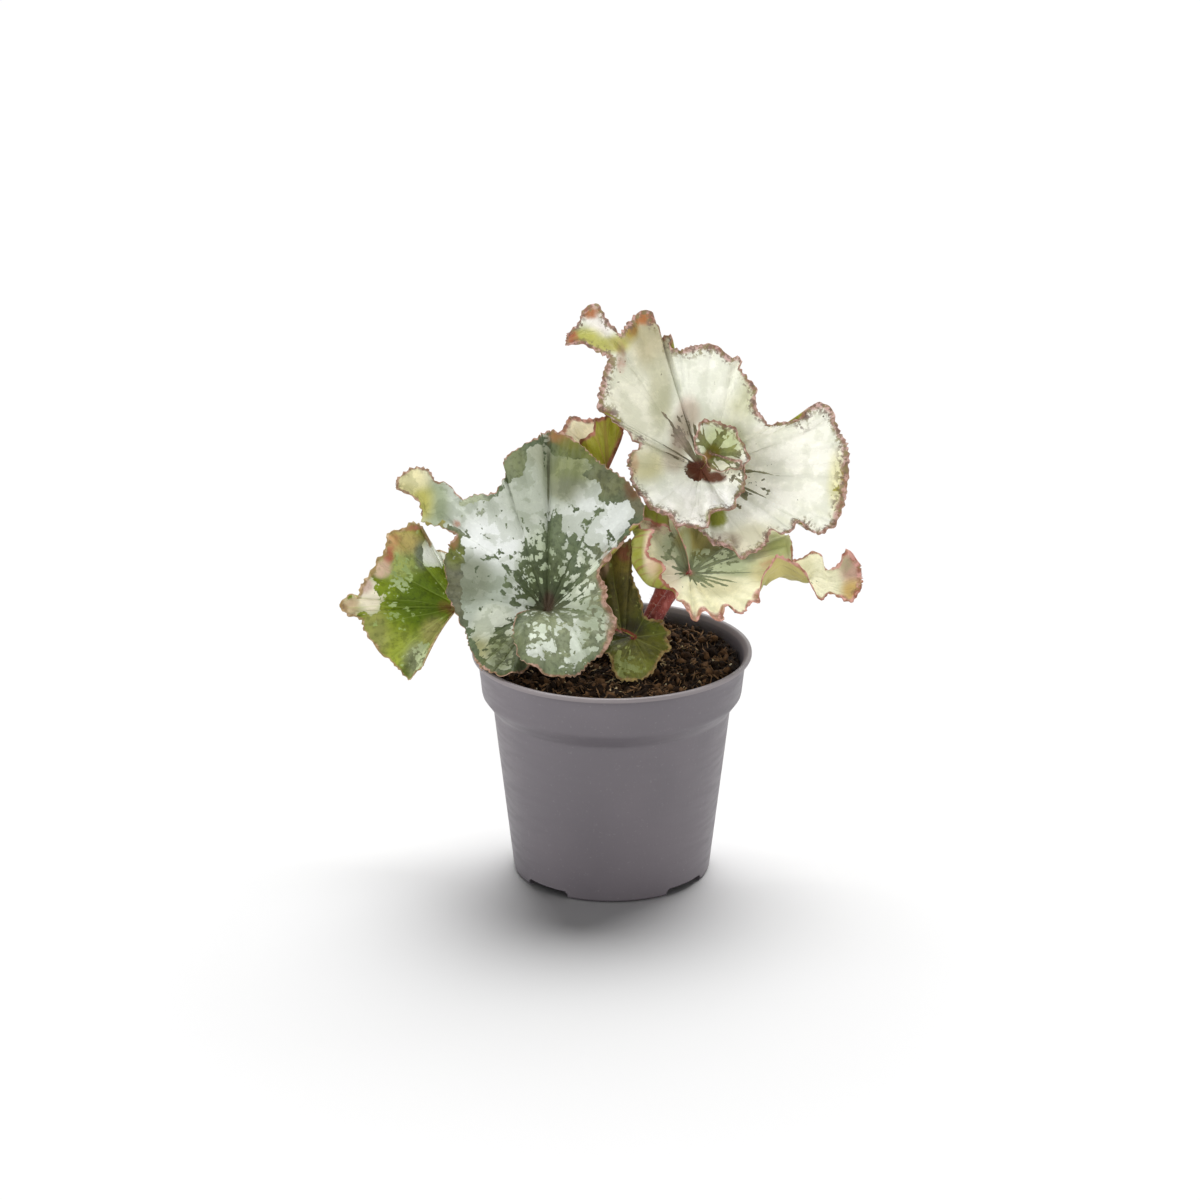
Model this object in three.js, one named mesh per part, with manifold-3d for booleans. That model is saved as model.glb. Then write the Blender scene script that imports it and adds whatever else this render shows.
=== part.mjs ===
// Potted escargot rex begonia: a plastic nursery pot filled with soil, a short rhizome with its
// leaf stalks, and six spiral leaf blades. Millimetres, +Z up, origin at the middle of the pot's
// underside. The front of the plant faces -Y.
import * as THREE from "three";
import { mergeVertices } from "three/addons/utils/BufferGeometryUtils.js";
import Module from "manifold-3d";

const wasm = await Module();
wasm.setup();

// Driving dimensions
const POT_HEIGHT = 100;
const LIP_RADIUS = 60;
const LIP_HEIGHT = 2.1;
const LIP_WIDTH = 1.8;
const WALL = 1.2;
const BAND_TOP_RADIUS = 57.7;
const BAND_FOOT_RADIUS = 55.8;
const BAND_HEIGHT = 18.5;
const SHOULDER_HEIGHT = 7;
const BODY_TOP_RADIUS = 51;
const BASE_RADIUS = 42.6;
const BASE_ROUNDING = 1.4;
const FLOOR = 4.7;
const ROUND_SIDES = 40;

const RECESS_COUNT = 4;
const RECESS_HEIGHT = 3.2;
const RECESS_ANGLE = 30;
const RECESS_INNER_RADIUS = 33;
const RECESS_PHASE = 48.5;
const DRAIN_RADIUS = 3;

const CLEARANCE = 0.3;
const SOIL_LEVEL = 94.5;
const SOIL_LUMP = 1.1;
const SOIL_RINGS = 9;

const CROWN = { x: 8, y: 0, radius: 6.4, top: 101, bottom: 86 };
const BLADE = 0.7;
const VIEW_LEAN = THREE.MathUtils.degToRad(20);

// Each leaf is drawn in the front plane, which leans back by VIEW_LEAN through the middle of the
// pot's mouth: X to the right, U up the plane and D out of it, towards the front.
function front([x, u, d]) {
  const s = Math.sin(VIEW_LEAN);
  const c = Math.cos(VIEW_LEAN);
  return new THREE.Vector3(x, u * s - d * c, POT_HEIGHT + u * c + d * s);
}

// A sweep is a stretch of a leaf's margin that winds round one vein centre, which moves from
// centre[0] to centre[1] along the stretch. A row is a point of the margin and, where the rib to
// it is bent, the point that it bends towards. A tongue is a long tip that grows out of the margin
// between two rows, given by its left and right edges and, where it is rolled, the keel between.
const LEAVES = [
  {
    name: "leaf_front",
    colour: 0x9fb092,
    columns: 84,
    bands: [0, 0.2, 0.42, 0.62, 0.8, 0.92, 1],
    cup: 0.34,
    ruffle: 1,
    wave: 13,
    hole: 2.2,
    sweeps: [
      {
        centre: [[-27.5, 15.5, 3], [-27.5, 15.5, 8]],
        rows: [
          [-25, 2, 18, -26, 10, 9],
          [-32, -3, 26, -29, 8, 14],
          [-37, -9, 33, -33, 5, 18],
          [-43, -10.5, 37, -36, 5, 19],
          [-49, -10, 36, -39, 5, 19],
          [-54, -8.5, 33, -42, 6, 18],
          [-58, -4.5, 20, -44, 8, 16],
          [-60.5, 1, 13, -45, 10, 14],
          [-62.5, 7, 9, -46, 13, 13],
          [-66, 14, 5, -47, 17, 12],
          [-70, 22, 1, -49, 22, 12],
          [-71, 29, -1, -50, 26, 12],
          [-71.5, 37, -2, -50, 30, 11.5],
          [-70.5, 43, -1, -50, 34, 10.5],
          [-66.5, 48.5, 1, -52, 39, 9],
          [-65, 56, -3, -50, 45, 6.5],
          [-64, 64, -6, -51, 51.5, 4],
          [-57, 66, -4, -46, 50, 3.2],
          [-50.5, 67, -1, -40, 50, 3],
          [-46, 73, 0, -38, 50, 3],
          [-46, 81, 0, -36, 52, 3],
          [-39, 86.5, 1, -33, 54, 2],
          [-33, 90, 0, -30, 55, 1.2],
          [-26.5, 93.5, -6, -27, 55, 0.3],
          [-19, 91.5, 0, -24, 54, 1.2],
          [-12, 86, 3, -20, 52, 3],
          [-5, 79.5, 4, -17, 49, 4],
          [2, 75, 5, -13, 47, 5],
          [8, 70, 5, -10, 44, 6],
          [13.5, 61, 5, -8, 39, 8],
          [12.5, 55, 7, -8, 36, 10],
          [7, 49.5, 9, -9, 32.5, 11],
          [3.5, 44, 11, -11, 29.5, 12],
          [-1, 39.5, 13, -13, 27, 13],
          [-4.5, 35, 15, -14, 24.5, 15],
          [-5, 31, 17, -14, 24, 16],
          [-2, 25, 21, -14, 22, 18],
          [-2, 19, 24, -14, 21, 20],
          [2, 12, 26, -14, 20, 22],
          [0, 5, 30, -15, 19, 24],
          [-3, -1, 34, -17, 19, 26],
          [-9, -5, 37, -20, 19, 28],
          [-13, -9.5, 40, -22, 19, 29],
          [-19, -11.5, 42, -24.5, 19, 30],
          [-26, -11, 42.5, -27, 19, 30],
          [-32, -7.5, 41, -30, 19, 30],
          [-38, -4, 40, -33, 19, 29],
          [-41, 3, 37, -35, 18, 27],
          [-41.5, 10, 31, -37, 18, 21],
          [-39.5, 15.5, 23, -35, 17.5, 14],
        ],
      },
    ],
    tongues: [
      {
        rows: [14, 16],
        steps: 10,
        left: [[-74, 52.5, -4], [-81, 54, -7], [-82, 60, -7], [-84.5, 64.5, -6], [-92.5, 68.5, -1]],
        right: [[-71, 71, -8], [-76, 72, -8], [-79, 77, -7], [-86, 77.5, -5], [-92.5, 72.5, -2]],
      },
    ],
  },
  {
    name: "leaf_right_high",
    colour: 0xd9dac3,
    columns: 124,
    bands: [0, 0.2, 0.42, 0.62, 0.8, 0.92, 1],
    cup: 0.34,
    ruffle: 1.1,
    wave: 13,
    hole: 2.2,
    sweeps: [
      {
        centre: [[38.5, 77.5, -16], [38.5, 77.5, -11]],
        rows: [
          [36.5, 56, -1],
          [37.3, 51.5, 0],
          [40, 47.5, 2],
          [45, 44.5, 4],
          [50, 42.5, 6],
          [55, 39.5, 8],
          [60, 40, 8],
          [65, 44, 5.5],
          [68.5, 49.5, 3],
          [74, 49.5, 2],
          [77.5, 51, 1],
          [79, 53, 1, 60, 65, -9.5],
          [83, 52.5, 1, 62, 65.5, -9],
          [88, 49, 3, 68, 64, -7.5],
          [92, 50, 4, 70, 64.5, -7],
          [96, 54, 4, 68, 66.5, -8],
          [99.5, 61.5, 3],
          [100, 67, 3],
          [101.5, 73, 2],
          [101, 78.5, 2],
          [101.5, 85.5, 1],
          [97.5, 93, 1],
          [95.5, 99.5, 1, 78, 89.5, -7],
          [92, 104.5, 0, 76.5, 91.5, -7],
          [86.5, 105.5, 0, 71, 91.5, -8],
          [83, 100.5, -1, 67, 91.5, -8],
          [76, 97.5, -2, 62, 91, -9],
          [69.5, 96, -3, 57, 90, -10],
          [64.5, 99.5, -2],
          [61.5, 104, -1],
          [62.5, 110, 0],
          [58.5, 115.5, 0],
          [55.5, 120, 0],
          [55, 124, 0],
          [50, 125.5, 0],
          [46.5, 129, 0],
          [39, 130.5, 0],
          [32, 129, -1],
          [29.5, 127.5, -2],
          [26.5, 129.5, -2],
          [25, 134.5, -2, 31.7, 104.7, -9.3],
          [20.5, 133.5, -4, 30.6, 104.4, -9.3],
          [18.5, 138, -2, 29.6, 104.1, -9],
          [18, 143, 2, 27.3, 107.5, -7.5],
          [15, 145, 3, 24.7, 110.8, -5.8],
          [10, 143, 3, 21.9, 113.9, -4.2],
          [7.5, 140.5, 0, 20.5, 113.2, -4],
          [4, 135.5, -4, 18.6, 112.2, -4.5],
          [1.5, 130, -3.5, 15.8, 110.5, -5.5],
          [-1, 125, -3, 13.3, 108.6, -6.5],
          [-3, 120, -3, 10, 108, -7],
          [-5, 113, -4],
          [-6, 107, -6],
          [-5.5, 102, -7, 18, 91, -10],
          [-3, 100.5, -7, 19.4, 89.5, -10],
          [0, 98, -8, 21, 88, -10],
          [4, 95, -8, 22.5, 86.3, -10],
          [6.5, 93, -8, 24, 84.6, -10.3],
          [8.5, 91.5, -8, 24.5, 83.4, -10.3],
          [11.5, 89, -7, 25.3, 82.2, -10],
          [11, 86, -6],
          [8, 84.2, -6],
          [7, 80, -5],
          [8, 73, -3],
          [10, 68.5, -1],
          [13, 63.5, 1],
          [17, 60, 3],
          [21, 57.5, 4],
          [25, 55, 5],
          [28, 53, 5],
          [33, 51.5, 6],
          [38, 51, 7],
          [41, 54, 7],
          [45, 58.5, 7],
          [50, 59.5, 7],
        ],
      },
      {
        centre: [[39.6, 78.8, -10], [41.9, 82.7, -7.4]],
        rows: [
          [53.5, 62.5, 7],
          [55.5, 66, 7],
          [56.5, 71, 6.5],
          [57.5, 76, 6],
        ],
      },
      {
        centre: [[43, 84, -6.5], [43, 84, -3]],
        rows: [
          [58, 80, 6],
          [57.5, 84.5, 5],
          [56, 89, 4],
          [53, 93, 3.5],
          [49, 96, 3],
          [44.5, 97.8, 3],
          [40, 97.3, 3],
          [36.5, 95, 3],
          [35.3, 90.5, 3],
          [36, 86, 4],
          [38, 82, 5],
          [41, 78.8, 6],
          [45, 76.3, 7],
          [50, 75.5, 8],
          [54, 77, 8.5],
          [55, 80, 8],
        ],
      },
    ],
    tongues: [
      {
        rows: [47, 49],
        steps: 10,
        left: [[-1.7, 141, -7], [-6.5, 148.5, -9], [-12.4, 145.5, -8], [-14.1, 140.4, -5], [-19.2, 135, -3]],
        right: [[-3.7, 126, -2.5], [-6.4, 127.3, -2], [-9.5, 129, -1.5], [-12.4, 130.5, -1], [-20, 130, -1]],
      },
    ],
  },
  {
    name: "leaf_right_low",
    colour: 0xc9c58a,
    columns: 96,
    bands: [0, 0.2, 0.42, 0.62, 0.8, 0.92, 1],
    cup: 0.4,
    ruffle: 1.1,
    wave: 13,
    hole: 2.2,
    sweeps: [
      {
        centre: [[33, 32, 5.5], [33, 32, 8.5]],
        rows: [
          [31, 56, -9, 31.5, 50, -6],
          [27.5, 51, -3, 27, 60, -10],
          [24, 51, -1, 21, 69, -11],
          [19.5, 53, 0.5, 14, 73, -11],
          [15, 55.5, 0.5, 8, 75, -11],
          [11.5, 55, 0.5, 1, 65, -8],
          [13, 51.5, 4, -2, 56, -3],
          [17.8, 50.8, 7, -4, 51, 0],
          [17.5, 48, 10, -6, 47, 3],
          [15, 43.5, 12, -4, 41.5, 5],
          [16, 39.5, 14, -4.5, 35, 7],
          [19.5, 38, 15, -2.5, 29, 9],
          [22, 35.5, 16, 0.5, 23.5, 11],
          [21.5, 31, 18, 6.5, 22, 12],
          [23, 28, 20, 14, 22.5, 14],
          [28, 22.8, 25, 24, 24.5, 16],
          [30, 18, 30],
          [34.3, 13.2, 34],
          [38.7, 15, 34],
          [45, 12.2, 37],
          [46.7, 15, 35],
          [50, 17.5, 34],
          [54.6, 15.4, 36],
          [57.2, 18, 34],
          [61.4, 19.2, 34],
          [61.4, 22.6, 32],
          [62.5, 24.5, 29.5, 49.5, 27.3, 18.5],
          [63.8, 26.5, 26, 50.5, 28.5, 17],
          [65.5, 29, 21, 51.5, 30, 14.5],
          [68, 33, 14, 52, 32.3, 11.5],
          [71.5, 40, 5, 53, 36, 7.5],
          [76, 48, -4, 54, 40.5, 3.5],
          [70, 52, -10],
          [62, 55, -15],
          [52, 57, -18],
          [43, 57, -15],
          [36, 56, -8],
          [30.5, 54.3, -2.5, 34, 45, 4],
          [26.5, 51.5, 0.5, 33, 43, 5],
        ],
      },
    ],
    tongues: [
      {
        rows: [25, 31],
        steps: 18,
        left: [
          [63.5, 31, 33],
          [66.5, 35.5, 34],
          [69, 39.5, 32],
          [73, 38.5, 30],
          [78, 36, 29],
          [81.5, 33, 28],
          [84, 27, 27],
          [88, 20.7, 26],
          [92, 23.6, 24],
          [96.7, 21.5, 25],
          [101.3, 20, 26],
          [105.2, 25.5, 25],
        ],
        keel: [
          [62.3, 22.7, 28],
          [65.2, 17, 31],
          [69.1, 16.2, 29],
          [74, 15.6, 27],
          [78, 16.6, 24.7],
          [80, 16.5, 24.5],
          [82.5, 18.2, 24.5],
          [85, 25.7, 22.5],
          [88.5, 29.7, 21],
          [91.5, 28.7, 20],
          [96, 29, 20],
          [100.5, 31, 19.5],
          [106, 31, 21],
        ],
        right: [
          [77.2, 45, -1],
          [77.3, 42, 2],
          [77, 38.5, 6],
          [79, 38.2, 8.5],
          [81.5, 39, 10],
          [83.5, 40.5, 11],
          [85.7, 41.5, 12],
          [89, 40, 14],
          [90.8, 33.8, 16],
          [96, 36, 17],
          [99.8, 42.3, 19],
          [105, 36, 21],
        ],
      },
    ],
  },
  {
    name: "leaf_left",
    colour: 0x6f8f3a,
    columns: 62,
    bands: [0, 0.2, 0.42, 0.62, 0.8, 0.92, 1],
    cup: 0.3,
    ruffle: 1.1,
    wave: 13,
    hole: 2.2,
    sweeps: [
      {
        centre: [[-65.5, 18, -12], [-65.5, 18, -9]],
        rows: [
          [-80, -8, 4, -76, 6.5, -3],
          [-84, -10.5, 4, -78, 5.2, -4],
          [-86, -12.7, 4, -79, 5.2, -4.5],
          [-88.5, -11.5, 3, -80, 5.3, -4.5],
          [-92, -8.5, 2, -81, 6, -4.5],
          [-95, -4.5, 1, -83, 6.5, -4],
          [-100, -1.5, 0],
          [-103, 3.5, -1],
          [-106.5, 8.5, -1],
          [-108, 12.5, -1],
          [-112.5, 14.6, 1, -104, 15.6, -4.5],
          [-116, 16, 0, -105.5, 16.6, -4.5],
          [-116.5, 20, -1, -105.5, 18.5, -4.5],
          [-113.5, 21.5, -1, -104, 19.8, -4.5],
          [-111, 23, 0, -101, 20.4, -5],
          [-109, 22.8, 1],
          [-108, 26, 1],
          [-106, 29, 0],
          [-103.5, 32.5, -1],
          [-101.5, 37, -2],
          [-98.5, 40, -2],
          [-97, 44, -3],
          [-97.3, 48, -4],
          [-94.5, 50.5, -6],
          [-90, 51.5, -8],
          [-86, 54.5, -10],
          [-82, 53, -11, -73.5, 37, -11],
          [-80, 48, -11, -71.5, 35, -11],
          [-77.5, 44, -12, -70, 33, -11],
          [-71.5, 41, -13, -67.8, 30, -11],
          [-64, 38, -15],
          [-58, 30, -15],
          [-56, 20, -14],
        ],
      },
    ],
    tongues: [],
  },
  {
    name: "leaf_back_small",
    colour: 0x9a8f45,
    columns: 34,
    bands: [0, 0.25, 0.5, 0.75, 1],
    cup: 0.5,
    ruffle: 0.6,
    wave: 9,
    hole: 2.6,
    sweeps: [
      {
        centre: [[-2, 76, -12], [-2, 76, -14]],
        rows: [
          [5.5, 93, -14],
          [4, 96.5, -13.5],
          [2.5, 100, -13],
          [0, 102.5, -12],
          [-3, 100, -11],
          [-5, 99.3, -10],
          [-7.5, 98.3, -8],
          [-8, 95, -6],
          [-8, 92.5, -5],
          [-12.5, 90.5, -4],
          [-15, 87, -6],
          [-19, 89, -10],
          [-22, 93, -14],
          [-20.5, 96, -17],
          [-18, 100.5, -20],
          [-14, 99.5, -22],
          [-9, 99.5, -23.5],
          [-4, 99, -24],
          [2, 96, -23],
        ],
      },
    ],
    tongues: [],
  },
  {
    name: "leaf_front_small",
    colour: 0x5f6228,
    columns: 40,
    bands: [0, 0.25, 0.5, 0.75, 1],
    cup: 0.6,
    ruffle: 0.7,
    wave: 9,
    hole: 1.8,
    sweeps: [
      {
        centre: [[3, 8, 18], [6, 6.5, 18]],
        rows: [
          [-8, 20, 8],
          [-7, 30, 6],
          [-4, 38, 4],
          [-0.5, 41.5, 3],
          [3.5, 44.5, 3],
          [7.5, 47, 4],
          [8.2, 43, 5],
          [8.3, 37, 6],
          [8.6, 31, 8],
          [9.8, 27.8, 9.5],
        ],
      },
      {
        centre: [[9, 5, 18], [9, 5, 16]],
        rows: [
          [11, 25.5, 11],
          [12.5, 21, 12],
          [13.5, 15, 13],
          [16, 12.5, 14],
          [21, 12.3, 14],
          [22.5, 9.5, 15],
          [24.5, 7, 16],
          [23.5, 4.5, 17],
          [25, 0, 18],
          [22, -1.5, 20],
          [20.5, -4, 21],
          [19, -6, 23],
          [17.5, -9.5, 25],
          [14, -12, 27],
          [9, -13.5, 28],
          [5, -13.3, 28],
          [2, -11.5, 27],
          [0, -8, 25],
          [-0.5, -4, 23],
          [-2, -2.5, 21],
          [-6, 2, 15.5],
          [-8, 11, 9.5],
        ],
      },
    ],
    tongues: [],
  },
];

// A stalk runs through its points in the front plane, from the rhizome to the hole in the middle
// of its blade.
const STALKS = [
  {
    radii: [2.4, 2.1, 1.3],
    points: [[8, -1, -1], [-8, 5, -3], [-22, 11, -6], [-27.5, 15, -3], [-27.5, 15.5, 4]],
  },
  {
    radii: [3.1, 2.7, 1.3],
    points: [[8, -1, -1], [17, 15, -4], [23, 29, -9.5], [30, 52, -17], [37, 74.5, -22], [38.5, 77.5, -14]],
  },
  {
    radii: [3.2, 2.8, 1.3],
    points: [[9, -1, -1], [18.6, 13, 0.5], [25.8, 23.5, 0.5], [32, 29.8, 1.5], [33, 32, 7]],
  },
  {
    radii: [2.2, 1.9, 1.3],
    points: [[6, 0, -3], [-30, 8, -12], [-56, 14.5, -17], [-64, 17.5, -17], [-65.5, 18, -10.5]],
  },
  {
    radii: [1.8, 1.4, 1.2],
    points: [[7, -1, -4], [-5, 22, -16], [-9, 42, -20], [-8, 62, -21], [-3, 72, -19], [-2, 77.2, -13]],
  },
  {
    radii: [1.8, 1.5, 1],
    points: [[9, -1, 1], [9.5, 1, 7], [9, 3.5, 12], [9, 5, 17]],
  },
];
const STALK_SIDES = 8;
const STALK_STEPS = 12;

// Catmull-Rom value at u (0 to the last row) of a list of rows
function along(rows, u) {
  const last = rows.length - 1;
  const i = Math.min(Math.floor(u), last - 1);
  const f = u - i;
  const at = (k, n) => {
    if (k < 0) return 2 * rows[0][n] - rows[1][n];
    if (k > last) return 2 * rows[last][n] - rows[last - 1][n];
    return rows[k][n];
  };
  return rows[0].map((_, n) => {
    const [a, b, c, d] = [at(i - 1, n), at(i, n), at(i + 1, n), at(i + 2, n)];
    return b + 0.5 * f * (c - a + f * (2 * a - 5 * b + 4 * c - d + f * (3 * (b - c) + d - a)));
  });
}

function mix(a, b, t) {
  return a.map((v, n) => v + (b[n] - v) * t);
}

function distance(a, b) {
  return Math.hypot(...a.map((v, n) => v - b[n]));
}

// The rows of all sweeps of a leaf, each with its margin point, the point that its rib bends
// towards and its start at the hole
function ribs(leaf) {
  const list = [];
  for (const sweep of leaf.sweeps) {
    sweep.rows.forEach((row, k) => {
      const centre = mix(sweep.centre[0], sweep.centre[1], k / Math.max(1, sweep.rows.length - 1));
      const margin = row.slice(0, 3);
      let middle = row.slice(3);
      if (middle.length === 0) {
        middle = mix(centre, margin, 0.5);
        middle[2] = centre[2] + leaf.cup * (margin[2] - centre[2]);
      }
      const inner = mix(centre, middle, leaf.hole / distance(centre, middle));
      list.push({ margin, middle, inner });
    });
  }
  return list;
}

// The middle surface of a blade as points in the front plane and triangles between them
function bladeSheet(leaf) {
  const list = ribs(leaf);
  const margins = list.map((r) => r.margin);
  const middles = list.map((r) => r.middle);
  const inners = list.map((r) => r.inner);

  // columns stand at equal steps of the margin's length
  const fine = 30 * (list.length - 1);
  const lengths = [0];
  for (let k = 1; k <= fine; k++) {
    const step = distance(along(margins, k / 30), along(margins, (k - 1) / 30));
    lengths.push(lengths[k - 1] + step);
  }
  const total = lengths[fine];
  const columns = [];
  let k = 0;
  for (let c = 0; c <= leaf.columns; c++) {
    const target = (total * c) / leaf.columns;
    while (k < fine - 1 && lengths[k + 1] < target) k++;
    const part = (target - lengths[k]) / (lengths[k + 1] - lengths[k]);
    columns.push({ u: (k + Math.min(1, part)) / 30, length: target });
  }

  const bands = leaf.bands.length;
  const points = [];
  for (const { u } of columns) {
    const a = along(inners, u);
    const b = along(middles, u);
    const m = along(margins, u);
    for (const t of leaf.bands) {
      points.push(mix(mix(a, b, t), mix(b, m, t), t));
    }
  }
  const index = (c, band) => c * bands + band;
  const faces = [];
  for (let c = 0; c < leaf.columns; c++) {
    for (let band = 0; band + 1 < bands; band++) {
      const [p, q, r, s] = [index(c, band), index(c + 1, band), index(c + 1, band + 1), index(c, band + 1)];
      faces.push([p, q, r], [p, r, s]);
    }
  }

  ruffle(leaf, points, faces, columns, bands);
  for (const tongue of leaf.tongues) addTongue(tongue, points, faces, columns, bands, index);
  return { points, faces };
}

// Waves towards the margin, and small teeth at it
function ruffle(leaf, points, faces, columns, bands) {
  const normals = vertexNormals(points, faces);
  columns.forEach(({ length }, c) => {
    const wave = Math.sin((2 * Math.PI * length) / leaf.wave + 0.6)
      + 0.6 * Math.sin((2 * Math.PI * length) / (0.56 * leaf.wave) + 2);
    const tooth = c % 2 ? 0.4 : -0.2;
    for (let band = 1; band < bands; band++) {
      const reach = Math.max(0, (leaf.bands[band] - 0.55) / 0.45) ** 1.5;
      const k = c * bands + band;
      points[k] = points[k].map((v, n) => v + leaf.ruffle * reach * wave * normals[k][n]);
    }
    const edge = c * bands + bands - 1;
    const out = mix(points[edge - 1], points[edge], 1 + tooth / distance(points[edge - 1], points[edge]));
    points[edge] = out;
  });
}

function vertexNormals(points, faces) {
  const sums = points.map(() => new THREE.Vector3());
  const [p, q, r] = [new THREE.Vector3(), new THREE.Vector3(), new THREE.Vector3()];
  for (const face of faces) {
    p.fromArray(points[face[0]]);
    q.fromArray(points[face[1]]).sub(p);
    r.fromArray(points[face[2]]).sub(p);
    q.cross(r);
    for (const v of face) sums[v].add(q);
  }
  return sums.map((v) => v.normalize().toArray());
}

// A tongue continues the margin between two rows out to its tip, from its left edge over a keel to
// its right edge. Where no keel is given, it is flat from edge to edge.
function addTongue(tongue, points, faces, columns, bands, index) {
  const nearest = (row) => {
    let best = 0;
    columns.forEach(({ u }, c) => {
      if (Math.abs(u - row) < Math.abs(columns[best].u - row)) best = c;
    });
    return best;
  };
  const first = nearest(tongue.rows[0]);
  const last = nearest(tongue.rows[1]);
  const wide = last - first;
  const base = [];
  for (let c = first; c <= last; c++) base.push(index(c, bands - 1));
  const left = [points[base[0]], ...tongue.left];
  const right = [points[base[wide]], ...tongue.right];
  const keel = tongue.keel ?? left.map((p, k) => mix(p, right[k], 0.5));
  const across = (u, v) => {
    const k = along(keel, u);
    return mix(mix(along(left, u), k, v), mix(k, along(right, u), v), v);
  };
  let previous = base;
  for (let step = 1; step <= tongue.steps; step++) {
    const u = (tongue.left.length * step) / tongue.steps;
    const fade = (1 - step / tongue.steps) ** 2;
    const current = [];
    for (let c = 0; c <= wide; c++) {
      const plain = across(0, c / wide);
      const bow = points[base[c]].map((v, n) => v - plain[n]);
      points.push(across(u, c / wide).map((v, n) => v + fade * bow[n]));
      current.push(points.length - 1);
    }
    for (let c = 0; c < wide; c++) {
      faces.push([previous[c], previous[c + 1], current[c + 1]], [previous[c], current[c + 1], current[c]]);
    }
    previous = current;
  }
}

// A closed solid of even thickness round a sheet, with the same triangles on both faces
function thicken({ points, faces }, thickness) {
  const normals = vertexNormals(points, faces);
  const count = points.length;
  const offset = (side) => points.map((p, k) => p.map((v, n) => v + side * 0.5 * thickness * normals[k][n]));
  const vertices = [...offset(1), ...offset(-1)].map((p) => front(p));
  const triangles = [];
  const edges = new Map();
  for (const [a, b, c] of faces) {
    triangles.push(a, b, c, count + a, count + c, count + b);
    for (const [p, q] of [[a, b], [b, c], [c, a]]) {
      const twin = `${q},${p}`;
      if (edges.has(twin)) edges.delete(twin);
      else edges.set(`${p},${q}`, [p, q]);
    }
  }
  for (const [p, q] of edges.values()) {
    triangles.push(p, count + p, count + q, p, count + q, q);
  }
  const geometry = new THREE.BufferGeometry();
  geometry.setAttribute("position", new THREE.Float32BufferAttribute(vertices.flatMap((v) => v.toArray()), 3));
  geometry.setIndex(triangles);
  return geometry;
}

// A round stalk along a smooth curve, thinner towards its end, with flat ends
function stalk({ points, radii }) {
  const curve = new THREE.CatmullRomCurve3(points.map((p) => front(p)));
  const frames = curve.computeFrenetFrames(STALK_STEPS, false);
  const positions = [];
  const triangles = [];
  for (let step = 0; step <= STALK_STEPS; step++) {
    const t = step / STALK_STEPS;
    const middle = curve.getPointAt(t);
    const radius = along(radii.map((r) => [r]), t * (radii.length - 1))[0];
    for (let side = 0; side < STALK_SIDES; side++) {
      const turn = (2 * Math.PI * side) / STALK_SIDES;
      const point = middle.clone()
        .addScaledVector(frames.normals[step], radius * Math.cos(turn))
        .addScaledVector(frames.binormals[step], radius * Math.sin(turn));
      positions.push(...point.toArray());
      if (step === STALK_STEPS) continue;
      const a = step * STALK_SIDES + side;
      const b = step * STALK_SIDES + ((side + 1) % STALK_SIDES);
      triangles.push(a, b, b + STALK_SIDES, a, b + STALK_SIDES, a + STALK_SIDES);
    }
  }
  const end = STALK_STEPS * STALK_SIDES;
  for (let side = 1; side + 1 < STALK_SIDES; side++) {
    triangles.push(0, side + 1, side, end, end + side, end + side + 1);
  }
  const geometry = new THREE.BufferGeometry();
  geometry.setAttribute("position", new THREE.Float32BufferAttribute(positions, 3));
  geometry.setIndex(triangles);
  return geometry;
}

// Mesh geometry to boolean solid and back
function solid(geometry) {
  const plain = geometry.clone();
  plain.deleteAttribute("normal");
  plain.deleteAttribute("uv");
  const merged = mergeVertices(plain, 1e-4);
  const vertProperties = new Float32Array(merged.attributes.position.array);
  const triVerts = new Uint32Array(merged.index.array);
  return new wasm.Manifold(new wasm.Mesh({ numProp: 3, vertProperties, triVerts }));
}

function geometryOf(manifold) {
  const mesh = manifold.getMesh();
  const geometry = new THREE.BufferGeometry();
  geometry.setAttribute("position", new THREE.Float32BufferAttribute(mesh.vertProperties, 3));
  geometry.setIndex(Array.from(mesh.triVerts));
  return geometry;
}

// Turned solid about the pot's axis from a profile of radius and height
function turned(profile) {
  const points = profile.map(([r, z]) => new THREE.Vector2(r, z));
  return new THREE.LatheGeometry(points, ROUND_SIDES).rotateX(Math.PI / 2);
}

const BAND_FOOT = POT_HEIGHT - BAND_HEIGHT;
const BODY_TOP = BAND_FOOT - SHOULDER_HEIGHT;
const LIP_FOOT = POT_HEIGHT - LIP_HEIGHT;

// Inner wall, from the lip down to the floor
const INNER_WALL = [
  [BAND_TOP_RADIUS - WALL, LIP_FOOT],
  [BAND_FOOT_RADIUS - WALL, BAND_FOOT + 0.4],
  [BODY_TOP_RADIUS - WALL, BODY_TOP + 0.6],
  [BASE_RADIUS - WALL, FLOOR],
];

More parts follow.
